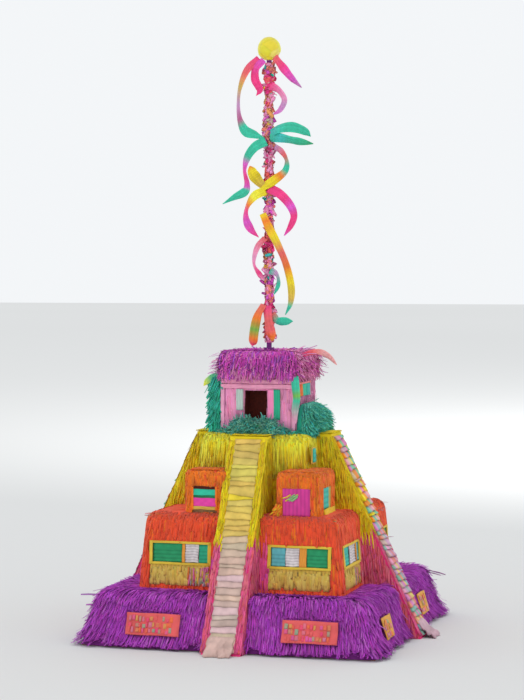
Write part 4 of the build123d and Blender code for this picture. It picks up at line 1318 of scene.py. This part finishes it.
def roof_fringe():
    """Shaggy magenta strips over the temple's roof, pinker at its hem and on its right."""
    tower = ROOF
    side, v, s = tower.rows(tower.row_places(1, 4.5, 5.0, ROOF_SKIRT_Z + 10), 2.1)
    point, _, _, _, z = tower.at(side, v, s)
    side, v, s, z = pick(np.hypot(point[:, 0], point[:, 1]) > 10, side, v, s, z)
    n = len(s)
    tops = s < tower.s_edge - 3
    length = np.where(tops, RNG.uniform(9, 16, n), RNG.uniform(12, 28, n))
    length = np.maximum(cut_at(length, z, ROOF_SKIRT_Z - 5, RNG.uniform(0, 7, n)), 4)
    flare = np.where(tops, RNG.uniform(0.3, 1.6, n), RNG.gamma(2.0, 1.5, n) + 1.0)
    shaggy = RNG.random(n) < 0.08
    flare = np.where(shaggy, flare + RNG.uniform(3, 8, n) * np.where(tops, 0.4, 1.0), flare)
    colours = vary(MAGENTA, n, 0.07, blend(PINK, LILAC, 0.4), 0.25)
    recolour(colours, RNG.random(n) < 0.2, srgb(196, 92, 214), 0.06)
    to_pink = np.clip((ROOF_SKIRT_Z + 18 - z) / 20, 0, 0.85) * (RNG.random(n) < 0.8)
    right = (side == RIGHT) * RNG.uniform(0.7, 1.0, n)
    share = np.maximum(to_pink, right)[:, None]
    colours = colours * (1 - share) + blend(PINK, HOT_PINK, 0.12) * share
    width, lift = RNG.uniform(1.8, 3.6, n), RNG.uniform(0.2, 1.4, n)
    rings = tower.strips(side, v, s, length, width, lift, flare, RNG.normal(0, 2.6, n), RNG.normal(0, 0.5, n))
    chunks = [prisms(rings, colours)]
    for index in range(4):
        # MAGENTA * 0.85 paints shade on the skins under the strips.
        chunks.append(tower.skin(index, (-1, 1), (0, tower.length - 3), 0.4, 0.7, MAGENTA * 0.85))
    chunks += roof_spikes()
    make_piece("roof_fringe_strips", chunks, SHAGGY, ["roof_fringe", "roof_top_paper"])


def roof_spikes():
    """Pointed tufts that stick out round the roof's edge, longest at its front corners."""
    n = 420
    side = RNG.integers(0, 4, n)
    u = RNG.uniform(-ROOF_HALF, ROOF_HALF, n)
    root = local_to_world(side, u, ROOF_HALF - RNG.uniform(0, 7, n), RNG.uniform(ROOF_SKIRT_Z + 4, ROOF_Z, n))
    lean = u / ROOF_HALF * 0.9
    down = local_to_world(side, lean + RNG.normal(0, 0.3, n), 1, RNG.uniform(-0.8, 0.15, n))
    out = local_to_world(side, 0, -0.2, 1)
    near_front = (root[:, 1] < 0) & (np.abs(root[:, 0]) > 40)
    length = np.where(np.abs(root[:, 0]) > 50, RNG.uniform(10, 20, n), RNG.uniform(6, 13, n))
    length = np.where(side == LEFT, length + 4, length)
    width, flare = RNG.uniform(2.2, 3.8, n), RNG.uniform(-3, 2, n)
    rings = free_strips(root, down, out, length, width, flare, RNG.normal(0, 1.5, n))
    colours = vary(MAGENTA, n, 0.06, PINK, 0.5)
    recolour(colours, near_front & (RNG.random(n) < 0.35), blend(PINK, LILAC, 0.5), 0.04)
    long_tips = np.array([(52.0, -52, 441), (60, -50, 440), (66, -40, 438), (66, -56, 430)])
    way = np.array([(1.0, 0.0, 0.55), (1.0, 0.0, 0.42), (1.0, 0.1, 0.1), (1.0, -0.2, -0.1)])
    up, length = np.array([0.0, -0.6, 1.0]), np.array([24.0, 34.0, 22.0, 16.0])
    more = free_strips(long_tips, way, up, length, np.full(4, 3.4), -2.0)
    pink_tips = prisms(more, vary(blend(PINK, LILAC, 0.4), 4, 0.05))
    return [prisms(rings, colours), pink_tips]


def bush(name, node, side, domes, size, wild):
    """Teal paper tufts over boxy mounds: each dome is (u, r, its half sizes, count) in its side."""
    chunks = []
    for u0, r0, hu, hr, hz, count in domes:
        theta = RNG.uniform(-math.pi, 0, count)
        rise = RNG.uniform(0.0, 1.0, count)
        ring = np.sqrt(np.clip(1 - rise**2, 0, 1))
        swell = boxy(ring * np.cos(theta), -ring * np.sin(theta), rise)
        nu, nr, nz = ring * np.cos(theta) * swell, -ring * np.sin(theta) * swell, rise * swell
        root = local_to_world(side, u0 + hu * nu * 0.94, r0 + hr * nr * 0.94, UPPER_TOP + hz * nz * 0.97)
        normal = unit(local_to_world(side, nu**3 / hu, nr**3 / hr, nz**3 / hz))
        fall = local_to_world(side, 0.4 * nu + RNG.normal(0, wild, count), 0.5 * nr + 0.15, -1)
        fall[:, 2] += RNG.normal(0, wild, count)
        length = np.minimum(RNG.uniform(*size, count), np.maximum(root[:, 2] - UPPER_TOP - 0.5, 5))
        rings = tufts(root, fall, normal, length, (2.0, 3.4), (1.5, 1.0 + wild), 1.2, 0.35)
        # Painted light: the tufts are whitened in step with wild and their roots lightened, to make up for
        # the shade among the rougher tufts.
        colours = vary(blend(TEAL, WHITE, wild / 3.6), count, 0.06, CYAN, 0.4)
        chunks.append(prisms(rings, colours, root_shade=1.1))
        chunks.append(mound(side, u0, r0, hu * 0.92, hr * 0.92, hz * 0.95))
    make_piece(name, chunks, SHAGGY, [node])


def boxy(x, y, z):
    """Scale that pushes a unit sphere's points out to a rounded box."""
    return (np.abs(x) ** 4 + np.abs(y) ** 4 + np.abs(z) ** 4) ** -0.25


def mound(side, u0, r0, hu, hr, hz):
    """Closed core under a bush's tufts: half a rounded box standing on the deck."""
    theta = np.linspace(0, 2 * math.pi, 33)[:-1][None, :]
    rise = np.linspace(0, 1, 10)[:-1][:, None] * math.pi / 2
    x, y, z = np.cos(rise) * np.cos(theta), np.cos(rise) * np.sin(theta), np.sin(rise) + 0 * theta
    swell = boxy(x, y, z)
    grid = local_to_world(side, u0 + hu * x * swell, r0 + hr * y * swell, UPPER_TOP + hz * z * swell)
    rows, columns = grid.shape[:2]
    ends = local_to_world(side, u0, r0, np.array([UPPER_TOP + hz, UPPER_TOP]))
    v = np.concatenate([grid.reshape(-1, 3), ends])
    index = np.arange(rows * columns).reshape(rows, columns)
    following = np.roll(index, -1, axis=1)
    quads = np.stack([index[:-1], following[:-1], following[1:], index[1:]], -1).reshape(-1, 4)
    crown = np.stack([index[-1], following[-1], np.full(columns, rows * columns)], 1)
    floor = np.stack([following[0], index[0], np.full(columns, rows * columns + 1)], 1)
    return v, quads, np.concatenate([crown, floor]), np.broadcast_to(TEAL, v.shape)


def temple_bushes():
    """The mounds at the front and right of the temple, then its left wall and left corner."""
    bush(
        "temple_front_bush_tufts", "temple_front_bushes", FRONT,
        (
            (-20.0, 67.0, 20, 14, 29, 800),
            (13.0, 68.0, 21, 14, 28, 800),
            (37.0, 65.0, 16, 9, 16, 300),
            (-44.0, 65.0, 18, 9, 12, 300),
        ),
        (3, 8), 0.9,
    )
    domes = ((-12.0, 70.0, 47, 16, 53, 1700), (36.0, 71.0, 24, 16, 44, 600))
    bush("temple_right_bush_tufts", "temple_right_bush", RIGHT, domes, (7, 15), 0.35)
    left_bush()
    corner_fringe()


def corner_fringe():
    """Teal strips beside the temple's front, at its left corner, that spread to the left."""
    n = 620
    x = -RNG.uniform(60, 77, n)
    z = RNG.uniform(UPPER_TOP + 8, 404, n)
    root = np.stack([x, -RNG.uniform(50, 61, n), z], 1)
    down = np.stack([-RNG.uniform(0.0, 0.7, n), np.zeros(n), -np.ones(n)], 1)
    out = np.array([-0.3, -1.0, 0.0])
    length = np.minimum(RNG.uniform(12, 26, n), z - UPPER_TOP - 1)
    width, flare = RNG.uniform(2.0, 3.6, n), RNG.gamma(1.6, 0.8, n)
    rings = free_strips(root, down, out, length, width, flare, RNG.normal(-1, 2, n), RNG.normal(0, 0.3, n))
    paper = prisms(rings, vary(TEAL, n, 0.05, blend(CYAN, GREEN, 0.3), 0.3))
    make_piece("temple_corner_fringe", [paper], SHAGGY)


def left_bulge(z):
    """How far the fringe on the temple's left wall stands out at height z."""
    return 6 + 6 * np.sin((z - UPPER_TOP) / 92 * math.pi * 0.8)


def left_bush():
    """Tall teal fringe that hides the left wall of the temple and stands out at its corner."""
    n = 1700
    u = RNG.uniform(-58, 60, n)
    z = RNG.uniform(UPPER_TOP + 8, 402, n)
    root = local_to_world(LEFT, u, TEMPLE_HALF + left_bulge(z) + RNG.uniform(0, 3, n), z)
    down = local_to_world(LEFT, RNG.normal(0, 0.08, n), RNG.uniform(0.0, 0.2, n), -1)
    length = np.minimum(RNG.uniform(12, 28, n), z - UPPER_TOP - 1)
    rings = tufts(root, down, local_to_world(LEFT, 0, 1, 0), length, (1.8, 3.4), (1.6, 1.3), 1.4, 0.3)
    chunks = [prisms(rings, vary(TEAL, n, 0.07, CYAN, 0.15))]
    for low in UPPER_TOP + 1 + 15.5 * np.arange(6):
        r = TEMPLE_HALF + left_bulge(low + 8)
        # TEAL * 0.8 paints shade on the panels behind the tufts.
        chunks.append(panel(LEFT, (-58.0, 60.0), (low, low + 15.5), r, 1.0, TEAL * 0.8, warp=0.8))
    make_piece("temple_left_bush_tufts", chunks, SHAGGY, ["temple_left_bush"])


def foot_band():
    """Teal hem round the temple's foot, over the top of the yellow storey."""
    n = 1500
    side = RNG.integers(0, 4, n)
    u = RNG.uniform(-66, 66, n)
    z = UPPER_TOP + RNG.uniform(3, 11, n)
    root = local_to_world(side, u, 62.0 + RNG.uniform(0, 4, n), z)
    down = local_to_world(side, RNG.normal(0, 0.3, n), RNG.uniform(0.8, 1.8, n), -0.6)
    out = local_to_world(side, 0, 0.4, 1)
    length, width = RNG.uniform(8, 18, n), RNG.uniform(1.8, 3.2, n)
    rings = free_strips(root, down, out, length, width, RNG.uniform(0, 1.5, n), RNG.normal(0, 1.2, n))
    make_piece("temple_foot_band", [prisms(rings, vary(TEAL, n, 0.07, CYAN, 0.2))], SHAGGY)


temple_walls_paper()
roof_fringe()
temple_bushes()
foot_band()


# ------------------------------------------------------------------ streamers


def smooth_path(points, count):
    """Points, widths and turns along a Catmull-Rom curve through given points."""
    p = np.array(points, float)
    p = np.concatenate([[2 * p[0] - p[1]], p, [2 * p[-1] - p[-2]]])
    spans = len(p) - 3
    t = np.linspace(0, spans - 1e-6, count)
    k = t.astype(int)
    f = (t - k)[:, None]
    a, b, c, d = p[k], p[k + 1], p[k + 2], p[k + 3]
    return 0.5 * (2 * b + (c - a) * f + (2 * a - 5 * b + 4 * c - d) * f**2 + (3 * b - a - 3 * c + d) * f**3)


def streamer(name, body, points, stops, replaces=()):
    """Curled paper strip. Each point is (x, y, z, width, turn of its face in degrees)."""
    count = 60
    path = smooth_path(points, count)
    centre, width, turn = path[:, :3], path[:, 3], np.radians(path[:, 4])
    tangent = unit(np.gradient(centre, axis=0))
    forward = np.array([0.0, -1.0, 0.0])
    towards = unit(forward - tangent * (tangent @ forward)[:, None])
    side = np.cross(tangent, towards)
    ends = np.linspace(0, 1, count)
    curl = turn + 0.3 * np.sin(ends * 9 + RNG.uniform(0, 6.28))
    face = towards * np.cos(curl)[:, None] + side * np.sin(curl)[:, None]
    across = np.cross(tangent, face)
    width = width * (1 - 0.9 * np.clip((ends - 0.7) / 0.3, 0, 1) ** 1.7)
    width = width * (1 + 0.03 * np.sin(ends * 17 + RNG.uniform(0, 6.28)))
    w = np.linspace(-1, 1, 7)
    spread = across[:, None] * (w[None, :, None] * width[:, None, None] / 2)
    crease = 0.6 * (1 - np.abs(w)) + 0.4 * (1 - w**2)
    dish = face[:, None] * (crease[None, :, None] * 0.1 * width[:, None, None])
    front = centre[:, None] + spread + dish + face[:, None] * 0.2
    back = centre[:, None] + spread + dish - face[:, None] * 0.2
    shares = np.array([s for s, _ in stops])
    tones = np.array([c for _, c in stops])
    colour = np.stack([np.interp(ends, shares, tones[:, i]) for i in range(3)], 1)
    # Painted light and shade: bands across the width for the crease, faint bands along the length, and edges
    # painted 12% lighter as a highlight.
    painted_crease_shading = 1 + 0.1 * np.sin(w * 7 + 1)[None, :] + 0.04 * np.sin(ends * 60)[:, None]
    edge = np.where(np.abs(w) > 0.9, 1.12, 1.0)[None, :]
    paper = closed_sheet(front, back, colour[:, None] * (painted_crease_shading * edge)[..., None])
    piece = make_piece(name, [paper], RIBBON, replaces, body)


STREAMERS = (
    ("streamer_ball_left", ["top_streamers"],
     ((-13, -10, 900, 13, 10), (-32, -16, 882, 12, 25), (-45, -14, 850, 11, 40),
      (-47, -10, 814, 11, 20),
      (-37, -12, 789, 15, 0), (-20, -13, 781, 16, 0), (-4, -10, 775, 13, 0)),
     ((0, HOT_PINK), (0.2, CORAL), (0.3, OCHRE), (0.42, LILAC), (0.55, srgb(190, 90, 140)),
      (0.62, TEAL), (1, TEAL))),
    ("streamer_ball_right", [],
     ((12, -10, 902, 12, 0), (28, -17, 884, 13, 10), (42, -15, 867, 11, 20), (56, -10, 853, 10, 25)),
     ((0, CORAL), (0.3, HOT_PINK), (0.7, MAGENTA), (1, LILAC))),
    ("streamer_neck_left", [],
     ((-6, -10, 898, 10, 20), (-17, -15, 886, 14, 0), (-19, -14, 868, 13, 0), (-12, -12, 852, 12, 10),
      (-17, -14, 842, 10, 20)),
     ((0, MAGENTA), (0.4, HOT_PINK), (1, HOT_PINK))),
    ("streamer_neck_right", [],
     ((5, -10, 858, 12, 0), (20, -16, 850, 11, 10), (29, -14, 835, 10, 30), (22, -12, 820, 10, 20),
      (9, -10, 812, 10, 0)),
     ((0, HOT_PINK), (0.45, PINK), (0.6, LILAC), (1, MAGENTA))),
    ("streamer_bow_upper", ["bow_streamers"],
     ((6, -10, 783, 12, 0), (22, -20, 789, 15, -20), (44, -24, 791, 16, -25), (62, -16, 785, 14, -10),
      (70, -8, 777, 10, 20)),
     ((0, CYAN), (0.4, TEAL), (1, TEAL))),
    ("streamer_bow_lower", [],
     ((5, -11, 776, 13, 0), (24, -20, 775, 15, 20), (48, -22, 770, 14, 25), (76, -14, 765, 11, 10)),
     ((0, TEAL), (0.35, CYAN), (0.6, TEAL), (1, GREEN))),
    ("streamer_mid_left", [],
     ((-2, -11, 771, 15, 0), (-18, -17, 762, 15, 10), (-31, -16, 746, 13, 25), (-37, -12, 726, 10, 40),
      (-33, -12, 704, 12, 10),
      (-36, -14, 692, 14, 0), (-54, -14, 683, 13, 0), (-74, -10, 673, 10, 10)),
     ((0, TEAL), (0.28, TEAL), (0.36, MAGENTA), (0.5, HOT_PINK), (0.62, MAGENTA), (0.68, TEAL),
      (1, TEAL))),
    ("streamer_mid_right", [],
     ((12, -9, 762, 10, 30), (24, -12, 754, 10, 10), (32, -12, 740, 10, 30), (30, -13, 724, 10, 0),
      (14, -16, 710, 14, 0),
      (-2, -15, 700, 15, 0), (-14, -13, 690, 13, 10)),
     ((0, LILAC), (0.25, CORAL), (0.42, TEAL), (0.5, TEAL), (0.58, ORANGE), (0.68, YELLOW),
      (1, YELLOW))),
    ("streamer_leaf", ["leaf_streamers"],
     ((-6, -13, 700, 12, 0), (-15, -17, 711, 17, 0), (-22, -18, 721, 18, 0), (-27, -16, 732, 16, 0)),
     ((0, OCHRE), (0.4, srgb(214, 190, 20)), (0.75, YELLOW), (1, ORANGE))),
    ("streamer_loop_left", [],
     ((-2, -14, 693, 13, 0), (-18, -19, 685, 14, 10), (-31, -17, 668, 13, 30), (-34, -13, 649, 13, 20),
      (-27, -12, 633, 13, 0),
      (-14, -11, 620, 11, 10)),
     ((0, YELLOW), (0.22, LEMON), (0.36, ORANGE), (0.46, HOT_PINK), (0.66, MAGENTA), (1, HOT_PINK))),
    ("streamer_loop_right", [],
     ((3, -13, 697, 14, 0), (22, -18, 688, 15, -10), (38, -16, 671, 13, -30), (44, -12, 654, 12, -40),
      (39, -12, 638, 11, -20),
      (28, -12, 622, 11, 0)),
     ((0, HOT_PINK), (0.3, HOT_PINK), (0.45, MAGENTA), (0.6, HOT_PINK), (0.85, HOT_PINK),
      (1, MAGENTA))),
    ("streamer_long_tail", ["middle_streamers"],
     ((-7, -12, 657, 11, 0), (4, -17, 636, 13, 0), (20, -20, 608, 13, 0), (33, -18, 577, 13, 10),
      (40, -14, 543, 12, 20),
      (38, -10, 517, 11, 10), (29, -8, 498, 10, 0)),
     ((0, YELLOW), (0.1, ORANGE), (0.28, YELLOW), (0.4, CORAL), (0.52, ORANGE), (0.62, YELLOW),
      (0.8, OCHRE), (0.88, TEAL), (1, TEAL))),
    ("streamer_curl_left", [],
     ((-4, -9, 619, 10, 0), (-16, -14, 603, 10, 30), (-21, -14, 579, 10, 40), (-13, -10, 562, 10, 10),
      (-5, -9, 552, 10, 0)),
     ((0, CORAL), (0.4, PINK), (0.7, HOT_PINK), (1, PINK))),
    ("streamer_curl_right", [],
     ((4, -9, 567, 10, 0), (16, -13, 562, 10, 20), (19, -13, 547, 10, 50), (11, -10, 530, 10, 20)),
     ((0, TEAL), (0.3, LILAC), (0.65, TEAL), (1, TEAL))),
    ("streamer_foot_left", ["foot_streamers"],
     ((-6, -10, 514, 11, 0), (-14, -16, 497, 13, 10), (-19, -17, 475, 15, 0), (-22, -15, 457, 17, 0),
      (-24, -13, 449, 17, 0)),
     ((0, CORAL), (0.3, ORANGE), (0.5, GRASS), (0.7, ORANGE), (0.85, CORAL), (1, HOT_PINK))),
    ("streamer_foot_middle", [],
     ((0, -10, 512, 13, 0), (2, -14, 498, 15, 0), (5, -16, 480, 15, 0), (8, -14, 466, 15, 5),
      (8, -11, 456, 15, 0)),
     ((0, HOT_PINK), (0.35, CORAL), (0.6, CORAL), (0.8, ORANGE), (1, OCHRE))),
    ("streamer_foot_teal", [],
     ((8, -10, 500, 10, 0), (18, -15, 489, 12, 0), (30, -15, 488, 13, 10), (42, -10, 488, 10, 10)),
     ((0, CORAL), (0.35, TEAL), (1, TEAL))),
)


def knot(z):
    """How thick the mast's knot is at height z, from 0 to 1."""
    return np.exp(-(((z - KNOT_Z) / KNOT_SPREAD) ** 2))


def mast_wrap():
    """Ragged scraps of every colour wound and glued round the pole, over a twisted paper core."""
    low, high = WRAP_LOW[2] + 1, WRAP_HIGH[2] - 2
    rows, columns = 240, 14
    z = np.linspace(low, high, rows)[:, None] * np.ones((1, columns))
    theta = np.linspace(0, 2 * math.pi, columns)[None, :] + z * 0.05
    radius = 5.6 + 3.0 * knot(z) + 0.8 * np.sin(z * 0.21 + theta * 2)
    radius = radius + 0.7 * np.sin(z * 0.53) + 0.5 * np.sin(z * 1.3 + theta)
    colours = scrap_colours(z.ravel()).reshape(rows, columns, 3)
    chunks = [closed_sheet(round_grid(radius, theta, z), round_grid(4.2, theta, z), colours)]
    n = 620
    z = RNG.uniform(low + 4, high - 3, n)
    theta = RNG.uniform(0, 2 * math.pi, n)
    root = round_grid(RNG.uniform(5.4, 6.6, n) + 2.6 * knot(z), theta, z)
    tangent = round_grid(1.0, theta + math.pi / 2, 0.0)
    down = tangent * RNG.normal(0, 0.8, (n, 1)) - UP * RNG.normal(0.4, 0.8, (n, 1))
    length = np.minimum(RNG.gamma(3, 1.7, n) + 3, z - low)
    rings = tufts(root, down, round_grid(1.0, theta, 0.0), length, (4.0, 9.0), (1.3, 0.8), 1.0, 0.6)
    chunks.append(prisms(rings, scrap_colours(z), root_shade=1.05))
    make_piece("mast_wrap_scraps", chunks, SHAGGY, ["mast_wrap"], body="mast")


def scrap_colours(z):
    """Colours of the mast's scraps: pink, orange and violet in blotches along its height."""
    n = len(z)
    peach, tan = blend(ORANGE, PINK, 0.3), blend(OCHRE, CORAL, 0.4)
    mix = np.array([CORAL, HOT_PINK, PINK, peach, MAGENTA, PINK, tan, PINK])
    blotch = (z / 15.0 + 1.2 * np.sin(z * 0.23) + RNG.normal(0, 0.35, n)).astype(int) % len(mix)
    colours = mix[blotch] * (1 + RNG.normal(0, 0.07, (n, 1)))
    odd = RNG.random(n) < 0.08
    bits = np.array([TEAL, YELLOW, CREAM, CYAN])
    colours[odd] = bits[RNG.integers(0, len(bits), int(odd.sum()))]
    return np.clip(colours, 0, 1)


def mast_ball():
    """Papier-mache ball: a slightly lumpy sphere covered in overlapping glazed patches."""
    rows, columns = 40, 64
    phi = np.linspace(0, math.pi, rows)[:, None]
    theta = np.linspace(0, 2 * math.pi, columns + 1)[None, :-1]
    direction = round_grid(np.sin(phi), theta, np.cos(phi))
    patches = unit(RNG.normal(0, 1, (26, 3)))
    nearest = direction @ patches.T
    which = nearest.argmax(-1)
    border = np.sort(nearest, -1)[..., -1] - np.sort(nearest, -1)[..., -2]
    radius = BALL_RADIUS - 0.9 + 0.5 * np.clip(border * 9, 0, 1) + (which % 3) * 0.13
    v = (direction * radius[..., None]).reshape(-1, 3) + np.array([0, 0, BALL_Z])
    tones = vary(blend(YELLOW, LEMON, 0.5), len(patches), 0.07, srgb(250, 236, 110), 0.3)
    c = tones[which].reshape(-1, 3) * (0.9 + 0.1 * np.clip(border * 12, 0, 1)).reshape(-1, 1)
    index = np.arange(rows * columns).reshape(rows, columns)
    following = np.roll(index, -1, axis=1)
    quads = np.stack([index[:-1], index[1:], following[1:], following[:-1]], -1).reshape(-1, 4)
    ball = (v, quads, NO_TRIANGLES, np.clip(c, 0, 1))
    make_piece("mast_ball_paper", [ball], GLOSSY, ["mast_ball"], body="mast", smooth=True)


mast_wrap()
mast_ball()
for name, replaced, points, stops in STREAMERS:
    streamer(name, "mast", points, stops, replaced)

LOOSE_ENDS = (
    ("loose_end_roof_right", ((66, -40, 436, 8, 30), (78, -36, 440, 8, 10), (92, -32, 441, 9, 0),
     (106, -30, 434, 9, 0), (118, -28, 421, 9, 0)),
     ((0, HOT_PINK), (0.3, CORAL), (0.6, blend(PINK, OCHRE, 0.4)), (1, blend(PINK, OCHRE, 0.4)))),
    ("loose_end_left_corner", ((-62, -57, 402, 12, 20), (-72, -59, 401, 12, 0), (-82, -59, 396, 10, 0),
     (-90, -58, 387, 8, 0)),
     ((0, TEAL), (0.5, blend(TEAL, GRASS, 0.5)), (1, LEMON))),
    ("loose_end_right_corner", ((60, -63, 404, 11, 10), (62, -65, 388, 13, 0), (64, -66, 370, 12, -10),
     (61, -65, 350, 11, 0), (62, -64, 330, 10, 0)),
     ((0, TEAL), (0.3, TEAL), (0.45, GRASS), (0.55, TEAL), (1, PINK))),
)
for name, points, stops in LOOSE_ENDS:
    streamer(name, "pyramid", points, stops)


# ------------------------------------------------------------------ filling flap


def flap_paper():
    """Rows of strips on the flap, its folded pull tab, and the tape along its crease."""
    n = 900
    u = RNG.uniform(-144, -46, n)
    z = RNG.uniform(FLAP_LOW[2] + 8, FLAP_HIGH[2] - 0.5, n)
    root = local_to_world(REAR, u, middle_half(z) + 3.5 + RNG.uniform(0.2, 1.5, n), z)
    down = local_to_world(REAR, RNG.normal(0, 0.04, n), 0.083, -1)
    length = np.minimum(RNG.uniform(16, 28, n), z - FLAP_LOW[2] + 2)
    rings = tufts(root, down, local_to_world(REAR, 0, 1, 0), length, (3.4, 5.6), (1.6, 0.7), 0.8, 0.12)
    strips = prisms(rings, vary(RED_ORANGE, n, 0.04, ORANGE, 0.1))
    wide, face_z = (-145.0, -45.0), (FLAP_LOW[2], FLAP_HIGH[2])
    # RED_ORANGE * 0.94 paints shade on the face under the strips.
    face = panel(REAR, wide, face_z, wall_r(face_z, 3.45), 0.5, RED_ORANGE * 0.94, warp=0.0)
    make_piece("flap_fringe_strips", [strips, face], CREPE, ["flap_fringe"], body="flap")
    r = cad_box("flap_pull_tab")[1][1] - 1.4
    tab = ((-101.0, -89.0), (91.0, 112.0), (r, r - 1.7), 1.2, YELLOW)
    chunks = [panel(REAR, *tab, pleats=3, depth=0.5, upright=True)]
    make_piece("flap_pull_tab_paper", chunks, SMOOTH, ["flap_pull_tab"], body="flap")
    tape_z = (HINGE_Z + 0.5, HINGE_Z + 9.0)
    tape_colour = blend(RED_ORANGE, CREAM, 0.25)
    tape = panel(REAR, wide, tape_z, wall_r(tape_z, 0.05), 0.3, tape_colour, warp=0.0, columns=30)
    make_piece("flap_hinge_tape_paper", [tape], SMOOTH, ["flap_hinge_tape"])


flap_paper()
